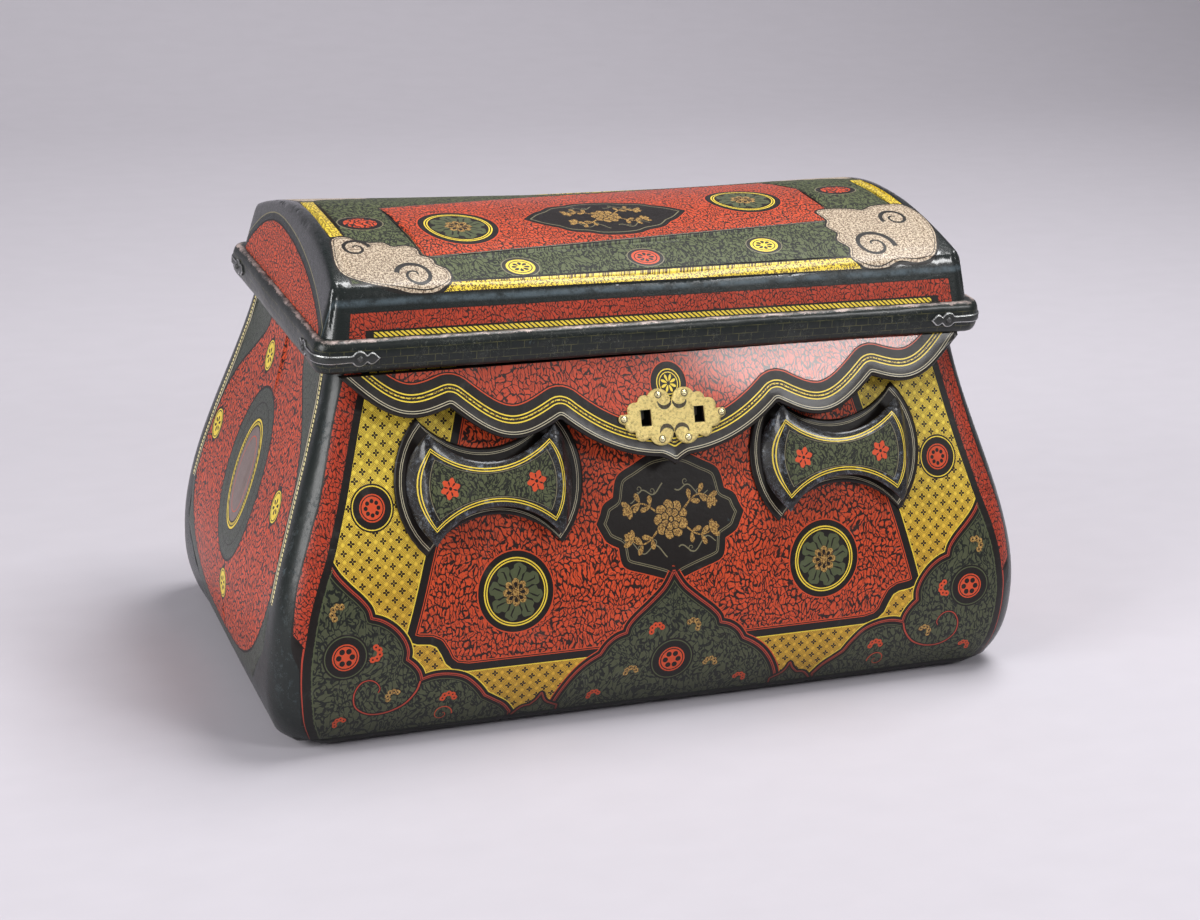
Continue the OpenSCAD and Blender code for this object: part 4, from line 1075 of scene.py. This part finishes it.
def lock():
    edge, holes, marks = plate_outline(), slots(0, 2), []
    a = lean(flap_face, LOCK_Z)
    out, up = np.array([0, -math.cos(a), math.sin(a)]), np.array([0, math.sin(a), math.cos(a)])
    at = np.array([0, flap_face(LOCK_Z) - FLAP_T - SEAT, LOCK_Z])
    for sx in (-1, 1):
        for sy in (-1, 1):
            arc = np.linspace(math.radians(188), math.radians(352), 17)
            mid = np.stack([sx * 5 + 4.5 * np.cos(arc), sy * (10.2 + 4.6 * np.sin(arc))], 1)
            marks.append(stroke(mid, 0.3 + 2.2 * np.sin(np.linspace(0.1, PI - 0.1, 17)), "brass_dark"))
    zones = [Zone("", edge, -d) for d in (0.35, 0.8, 1.5)]
    zones += [Zone("", m.outline, 0.35) for m in marks] + marks
    for x, y in ((8.7, 13.6), (32.3, 0.2), (8.7, -13.6)):
        zones += [Zone("brass_dark", disc(s * x, y, 2.35, n=20)) for s in (-1, 1)]
    flat = triangulate(edge, zones, hex_grid((-36, -18), (36, 18), 1.6), holes)

    def place(x, y, lift):
        return at + x[:, None] * np.array([1, 0, 0]) + y[:, None] * up + lift[:, None] * out

    def top(x, y):
        q = np.stack([x, y], 1)
        lift = PLATE_T - 0.7 * (1 - np.clip(line_dist(q, edge) / 1.3, 0, 1)) ** 2
        for hole in holes:
            lift -= 0.25 * (1 - np.clip(line_dist(q, hole) / 0.7, 0, 1)) ** 2
        for cx, cy, r in LOBES:
            lift += 0.14 * np.exp(-(np.hypot(x - cx, y - cy) / r / 0.6) ** 2)
        for m in marks:
            lift = np.where(m.holds(q), lift - 0.5, lift)
        return place(x, y, lift)

    b = Build()
    b.slab(flat, top, lambda x, y: place(x, y, 0 * x), "brass", "brass_dark", "brass")
    b.finish("lock_face", "lid", "gilt_brass", ["lock_plate"], 50)


# ---------------------------------------------------------------- rim and corner irons
def rim_off(w):
    return RIM_BULGE * (1 - (1 - np.abs(2 * w - 1) ** BULGE_POWER) ** (1 / BULGE_POWER))


def rim():
    waves = (1 - np.cos(np.linspace(0, PI, 19))) / 2
    prof = [(RIM_IN, 0), (10, 0), *((float(rim_off(w)), RIM_H * w) for w in waves),
            (8, RIM_H), (RIM_IN, RIM_H), (RIM_IN, RIM_H - 3)]
    lengths = np.concatenate([[0], np.cumsum(np.hypot(*np.diff(np.array(prof), axis=0).T))])
    turns = np.linspace(0, PI / 4, 7)[1:]
    round_corners = lambda ends, flat: np.concatenate([-ends[::-1], flat, ends])
    b = Build()
    for side, ((ax, ay), (ox, oy)) in SIDES.items():
        half, deep = (RIM_B, RIM_A) if side in ("left", "right") else (RIM_A, RIM_B)
        flats = np.linspace(-1, 1, int(half / 2))
        s = round_corners(half - RIM_R + RIM_R * turns, flats * (half - RIM_R))
        rows, uvs = [], []
        for (q, z), u in zip(prof, lengths):
            r = max(RIM_R - q, 0.02)
            flat = half - q - r
            a = round_corners(flat + r * np.sin(turns), flats * flat)
            o = deep - q - np.abs(round_corners(r * (1 - np.cos(turns)), flats * 0))
            room = fade((half - 14 - np.abs(a)) / 25) * (1 if 0 < z < RIM_H else 0.3)
            knock = np.sin(a / 23 + z / 5) + 0.6 * np.sin(a / 9.1 + 2 + z / 7) + 0.25 * np.sin(a / 3.7 + z)
            o = o + room * 0.22 * (knock - 1.8)
            rows.append(np.stack([a * ax + o * ox, a * ay + o * oy + MOUTH_BACK, np.full(len(a), RIM_Z + z)],
                                 1))
            uvs.append(np.stack([s + deep * 3, np.full(len(a), u)], 1))
        b.sheet(rows, "rim", uvs)
    b.finish("rim_moulding", "lid", "rim_lacquer", ["rim_front", "rim_back", "rim_left", "rim_right"], 50)


IRON_HALF = spline([(0, 2.7), (10, 2.5), (18.2, 2.3), (19.6, 2.9), (21, 4.2), (23.6, 4.9), (26.1, 4.1),
                    (27.6, 2.6), (28.2, 2.3), (29.2, 3.2), (30.8, 3.7), (32.6, 3.1), (34.3, 1.5), (36, 0)], 4)


def corner_iron(sx, sy, name):
    ring = IRON_HALF + [(x, -y) for x, y in IRON_HALF[::-1][1:-1]]
    ring += mirror(ring)
    ring = [p for i, p in enumerate(ring) if math.dist(p, ring[i - 1]) > 0.05]
    arc = RIM_R * PI / 4

    def place(lift):
        def at(s, z):
            high = lift(np.stack([s, z], 1)) - rim_off(0.5 + z / RIM_H)
            s = s * sx * sy
            turn = PI / 4 + np.clip(s, -arc, arc) / RIM_R
            px = RIM_A - RIM_R + RIM_R * np.cos(turn) - np.maximum(s - arc, 0)
            py = RIM_B - RIM_R + RIM_R * np.sin(turn) - np.maximum(-s - arc, 0)
            return np.stack([sx * (px + high * np.cos(turn)), sy * (py + high * np.sin(turn)) + MOUTH_BACK,
                             RIM_Z + RIM_H / 2 + z], 1)
        return at

    top = lambda q: 0.95 - 0.5 * (1 - np.clip(line_dist(q, ring) / 0.7, 0, 1)) ** 2
    # bright outer ring: bare metal edge and painted highlight
    zones = bands(ring, -0.1, "iron_edge", -0.75, "iron_face")
    flat = triangulate(ring, zones, hex_grid((-37, -6), (37, 6), 1.8))
    b = Build()
    b.slab(flat, place(top), place(lambda q: -0.5), "iron", "iron", "iron")
    b.finish("iron_" + name, "lid", "iron", ["corner_iron_" + name], 50)


# ---------------------------------------------------------------- dome of the lid
# Flat coordinates of the dome: plan millimetres, drawn out on the steep facets to their true length
EDGE_X, EDGE_Y, STEEP_X, STEEP_Y = 203, 93.5, math.hypot(1, END_STEEP), math.hypot(1, SIDE_STEEP)
FLAT_A, FLAT_B = EDGE_X + (DOME_A - EDGE_X) * STEEP_X, EDGE_Y + (DOME_B - EDGE_Y) * STEEP_Y
CLOUD_LEFT = [(-194, -44), (-186, -42), (-180, -47), (-173, -50), (-165, -50), (-160, -55), (-152, -54),
              (-146, -58), (-146, -64), (-140, -68), (-139, -74), (-134, -78), (-133, -85), (-137, -91),
              (-147, -94), (-160, -93.5), (-170, -92), (-180, -90), (-189, -86), (-197, -80), (-199, -70),
              (-197, -56)]
CLOUD_RIGHT = [(131, -34), (142, -32), (154, -34), (163, -37), (171, -33), (184, -32), (194, -34),
               (200, -46), (201, -60), (198, -74), (189, -90), (176, -93), (163, -92), (150, -94.5),
               (137, -93), (131, -87), (134, -78), (129, -70), (133, -62), (129, -54), (133, -46)]


def dome(fx, fy):
    fold = lambda t, e, k: np.where(np.abs(t) > e, np.sign(t) * (e + (np.abs(t) - e) / k), t)
    x, y = fold(fx, EDGE_X, STEEP_X), fold(fy, EDGE_Y, STEEP_Y)
    end, side = np.maximum(DOME_A - np.abs(x), 1e-3), np.maximum(DOME_B - np.abs(y), 1e-3)
    crown = DOME_H - CROWN_FALL * (y / DOME_B) ** 2 - CROWN_SAG * (1 - (x / DOME_A) ** 2) ** 2
    n = ROUND_POWER
    z = ((END_STEEP * end) ** -n + (SIDE_STEEP * side) ** -n + crown ** -n) ** (-1 / n)
    z = z - 0.25 * fade((z - 8) / 10) * (1 + np.sin(x / 29 + y / 17) * np.sin(y / 21 - x / 53))
    p, q = (np.abs(x) - DOME_A + DOME_R) / DOME_R, (np.abs(y) - DOME_B + DOME_R) / DOME_R
    m = np.maximum(p, q)
    safe = np.where(m > 0, m, 1)
    turn = np.where(p >= q, PI / 4 * q / safe, PI / 2 - PI / 4 * p / safe)
    corner = (p > 0) & (q > 0)
    px = np.where(corner, np.sign(x) * (DOME_A - DOME_R + DOME_R * m * np.cos(turn)), x)
    py = np.where(corner, np.sign(y) * (DOME_B - DOME_R + DOME_R * m * np.sin(turn)), y)
    return np.stack([px, py + MOUTH_BACK, DOME_Z + z], 1)


def end_x(z):
    """Flat coordinate of height z on the end facet."""
    return EDGE_X + (DOME_A - EDGE_X - (z - DOME_Z) / END_STEEP) * STEEP_X


def cloud(points):
    return bands(spline(points, 3, closed=True), 1.3, "ink", 0, "stipple", -1.0, "ink", -1.4, "stipple")


def dome_zones():
    z = bands([(-194, -88.6), (194, -85), (194, 88), (-194, 88)], 1.4, "ink", 0, "green_top")
    for s in (-1, 1):
        z += bands([(-150, s * 93.8), (150, s * 93.8), (150, s * 87.2), (-150, s * 89.8)], 0.9, "ink",
                   0, "yellow_fine")
    z += bands([(-143, -65.5), (133, -46), (139, -30), (139, 12), (128, 44), (27, 47), (-42, 34), (-80, 22),
                (-116, 13), (-150, 5)], 2.0, "ink", 0.9, "dull_line", 0.5, "ink", 0, "red_top")
    z += roundel_green(-111, -30, 25, 0.94) + roundel_green(92, -5, 25, 0.94)
    lobed = chain([(0, 27), (12, 26), (20, 22.5)], [(31, 20), (38, 14)], [(46, 9), (55, 0)])
    lobed += [(x, -y) for x, y in lobed[::-1][1:]]
    lobed = shift(lobed + mirror(lobed)[1:-1], -10, -20, 1, 0.03)
    z += bands(lobed, 1.2, "red_line", 0.7, "ink", -2.6, "dull_line", -3.3, "ink") + spray(-10, -20, 0.86)
    for x, y in ((-171, -23), (163, 2)):
        z += ovals(x, y, ((14.5, 11, "dull_line"), (13.8, 10.4, "ink"), (10.5, 7.4, "red_scroll")))
    for x, y, slot in ((-87, -77.5, "yellow_line"), (78, -69, "yellow_line"), (-4, -73, "red_line"),
                       (-87, 74, "yellow_line"), (78, 74, "yellow_line"), (-4, 74, "red_line")):
        z += ovals(x, y, ((12.2, 9, "dull_line"), (11.6, 8.5, "ink"), (9.2, 6.9, slot), (7.6, 5.7, "ink"),
                          (6.9, 5.1, slot)))
        z += around(x, y, 8, [("ink", petal(3.9, 1.2, 1.9))], sy=0.75)
    for s in (-1, 1):
        z += bands(box(s * 186.5, -41, s * 194.5, 27), 1.2, "ink", 0, "yellow_fine")
    z += cloud(CLOUD_LEFT) + swirl(-183, -55, 9, "ink", 1.4, 2.8, 2.6, -1)
    z += swirl(-154, -83, 11.5, "ink", 1.4, 3.2, 0.4)
    z += cloud(CLOUD_RIGHT) + swirl(152, -77, 14, "ink", 1.45, 3.6, 2.6, -1)
    z += swirl(180, -50, 10, "ink", 1.4, 3.0, 1.0)
    for s, inset in ((-1, 6), (1, 10)):
        z += cloud([(s * x, -y - inset) for x, y in CLOUD_LEFT])
    for s in (-1, 1):
        panel = [(-197, s * 104), (197, s * 104), (199, s * 119.5), (-199, s * 119.5)]
        z += bands(resample(panel, 6), 0.6, "ink", 0, "red_side")
        z += [Zone("ink", box(-189, s * 114.2, 189, s * 119.5)),
              Zone("yellow_rope", box(-184, s * 115.4, 184, s * 118.4))]
    arch = [(float(end_x(high)), y) for y, high in spline([ (-88, 247.5), (-80, 252), (-61, 261), (-35, 269),
                                                           (0, 275.5), (38, 276.5), (62, 270), (80, 257),
                                                           (88, 247.5)], 3)]
    arch += [(FLAT_A + 2, 88), (FLAT_A + 2, -88)]
    for s in (-1, 1):
        z += bands([(s * x, y) for x, y in arch], 6.0, "dull_line", 5.2, "lacquer", 1.2, "ink", 0, "red_top")
    return z


def lid_dome():
    grids = [hex_grid((-FLAT_A, -FLAT_B), (FLAT_A, FLAT_B), 5)]
    for s in (-1, 1):
        for xs, ys in ((np.arange(-FLAT_A, FLAT_A, 4), s * np.arange(85, 103, 1.15)),
                       (s * np.arange(197, 240, 1.7), np.arange(-FLAT_B, FLAT_B, 4))):
            grids.append(np.stack([a.ravel() for a in np.meshgrid(xs, ys)], 1))
    edge = resample(box(-FLAT_A, -FLAT_B, FLAT_A, FLAT_B), 4)
    v, f, slot = triangulate(edge, dome_zones(), np.concatenate(grids))
    b = Build()
    b.add(dome(*v.T), f, [s or "dome_edge" for s in slot], v)
    b.finish("lid_dome", "lid", "painted_leather", ["lid_skin"], 70)


body_shell()
flap()
for side, name in ((-1, "left"), (1, "right")):
    strap_loop(side, name)
lock()
rim()
for sx, lr in ((-1, "left"), (1, "right")):
    for sy, fb in ((-1, "front"), (1, "back")):
        corner_iron(sx, sy, fb + "_" + lr)
lid_dome()


# ---------------------------------------------------------------- camera, light and floor, in metres
def stage():
    """Paper floor that curves up into a backdrop."""
    back, front, side, high, r = 2.6, -4.0, 6.0, 4.0, 1.2
    prof = [(front, 0), *((back - r + r * math.sin(a), r - r * math.cos(a)) for a in np.linspace(0, PI / 2,
                                                                                                 24)),
            (back, high)]
    mesh = bpy.data.meshes.new("floor")
    mesh.from_pydata([(x, y, z) for y, z in prof for x in (-side, side)], [],
                     [(2 * i, 2 * i + 1, 2 * i + 3, 2 * i + 2) for i in range(len(prof) - 1)])
    mesh.polygons.foreach_set("use_smooth", [True] * len(mesh.polygons))
    net = Net("paper")
    uneven = net.add("MapRange", (net.add("TexNoise", {"Scale": 300}), 0, 1, 0.97, 1.03))
    net.put(net.bsdf.inputs["Base Color"],
            net.add("VectorMath", {0: srgb(196, 192, 199)[:3], "Scale": uneven}, operation="SCALE"))
    net.put(net.bsdf.inputs["Roughness"], 0.85)
    mesh.materials.append(net.mat)
    floor = bpy.data.objects.new("floor", mesh)
    bpy.context.scene.collection.objects.link(floor)


def lamp(name, at, to, size, power):
    d = bpy.data.lights.new(name, "AREA")
    d.shape, d.energy = "RECTANGLE", power
    d.size, d.size_y = size
    o = bpy.data.objects.new(name, d)
    bpy.context.scene.collection.objects.link(o)
    o.location = at
    o.rotation_euler = (Vector(to) - Vector(at)).to_track_quat("-Z", "Y").to_euler()


def camera():
    yaw, pitch, roll = math.radians(23.03), math.radians(-21.33), math.radians(3.83)
    focal_px, width_px = 2314.6, 1200
    forward = Vector((math.sin(yaw) * math.cos(pitch), math.cos(yaw) * math.cos(pitch), math.sin(pitch)))
    flat = Vector((math.cos(yaw), -math.sin(yaw), 0))
    upright = flat.cross(forward)
    right = math.cos(roll) * flat + math.sin(roll) * upright
    up = -math.sin(roll) * flat + math.cos(roll) * upright
    cam = bpy.data.cameras.new("camera")
    cam.sensor_width = 36
    cam.lens = focal_px / width_px * cam.sensor_width
    cam.clip_end = 50
    o = bpy.data.objects.new("camera", cam)
    bpy.context.scene.collection.objects.link(o)
    at = Vector((-556.2, -1307.1, 674.7)) * MM
    o.matrix_world = Matrix([*zip(right, up, -forward, at), (0, 0, 0, 1)])
    bpy.context.scene.camera = o


camera()
stage()
lamp("key", (1.19, -1.58, 1.33), (0, 0, 0.15), (0.55, 0.4), 13)
lamp("fill", (-2.1, -0.7, 1.15), (0, 0, 0.15), (1.2, 1.2), 40)
lamp("top", (0.7, 0.15, 2.1), (0, 0, 0.2), (1.3, 0.8), 46)
world = bpy.data.worlds.new("world")
bpy.context.scene.world = world
world.use_nodes = True
world.node_tree.nodes["Background"].inputs[0].default_value = srgb(205, 203, 210)
world.node_tree.nodes["Background"].inputs[1].default_value = 0.3
bpy.context.scene.view_settings.view_transform = "Standard"

# the solids of the CAD that stay in view
for name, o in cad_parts.items():
    kinds = (("base_board", "edge_wood"), ("board", "board"), ("lock", "rivet_brass"), ("iron", "iron"),
             ("hinge", "iron"), ("staple", "iron"), ("", "lacquer"))
    kind = next(kind for word, kind in kinds if word in name)
    if not o.material_slots:
        o.data.materials.append(None)
    for slot in o.material_slots:
        slot.link, slot.material = "OBJECT", material(kind)
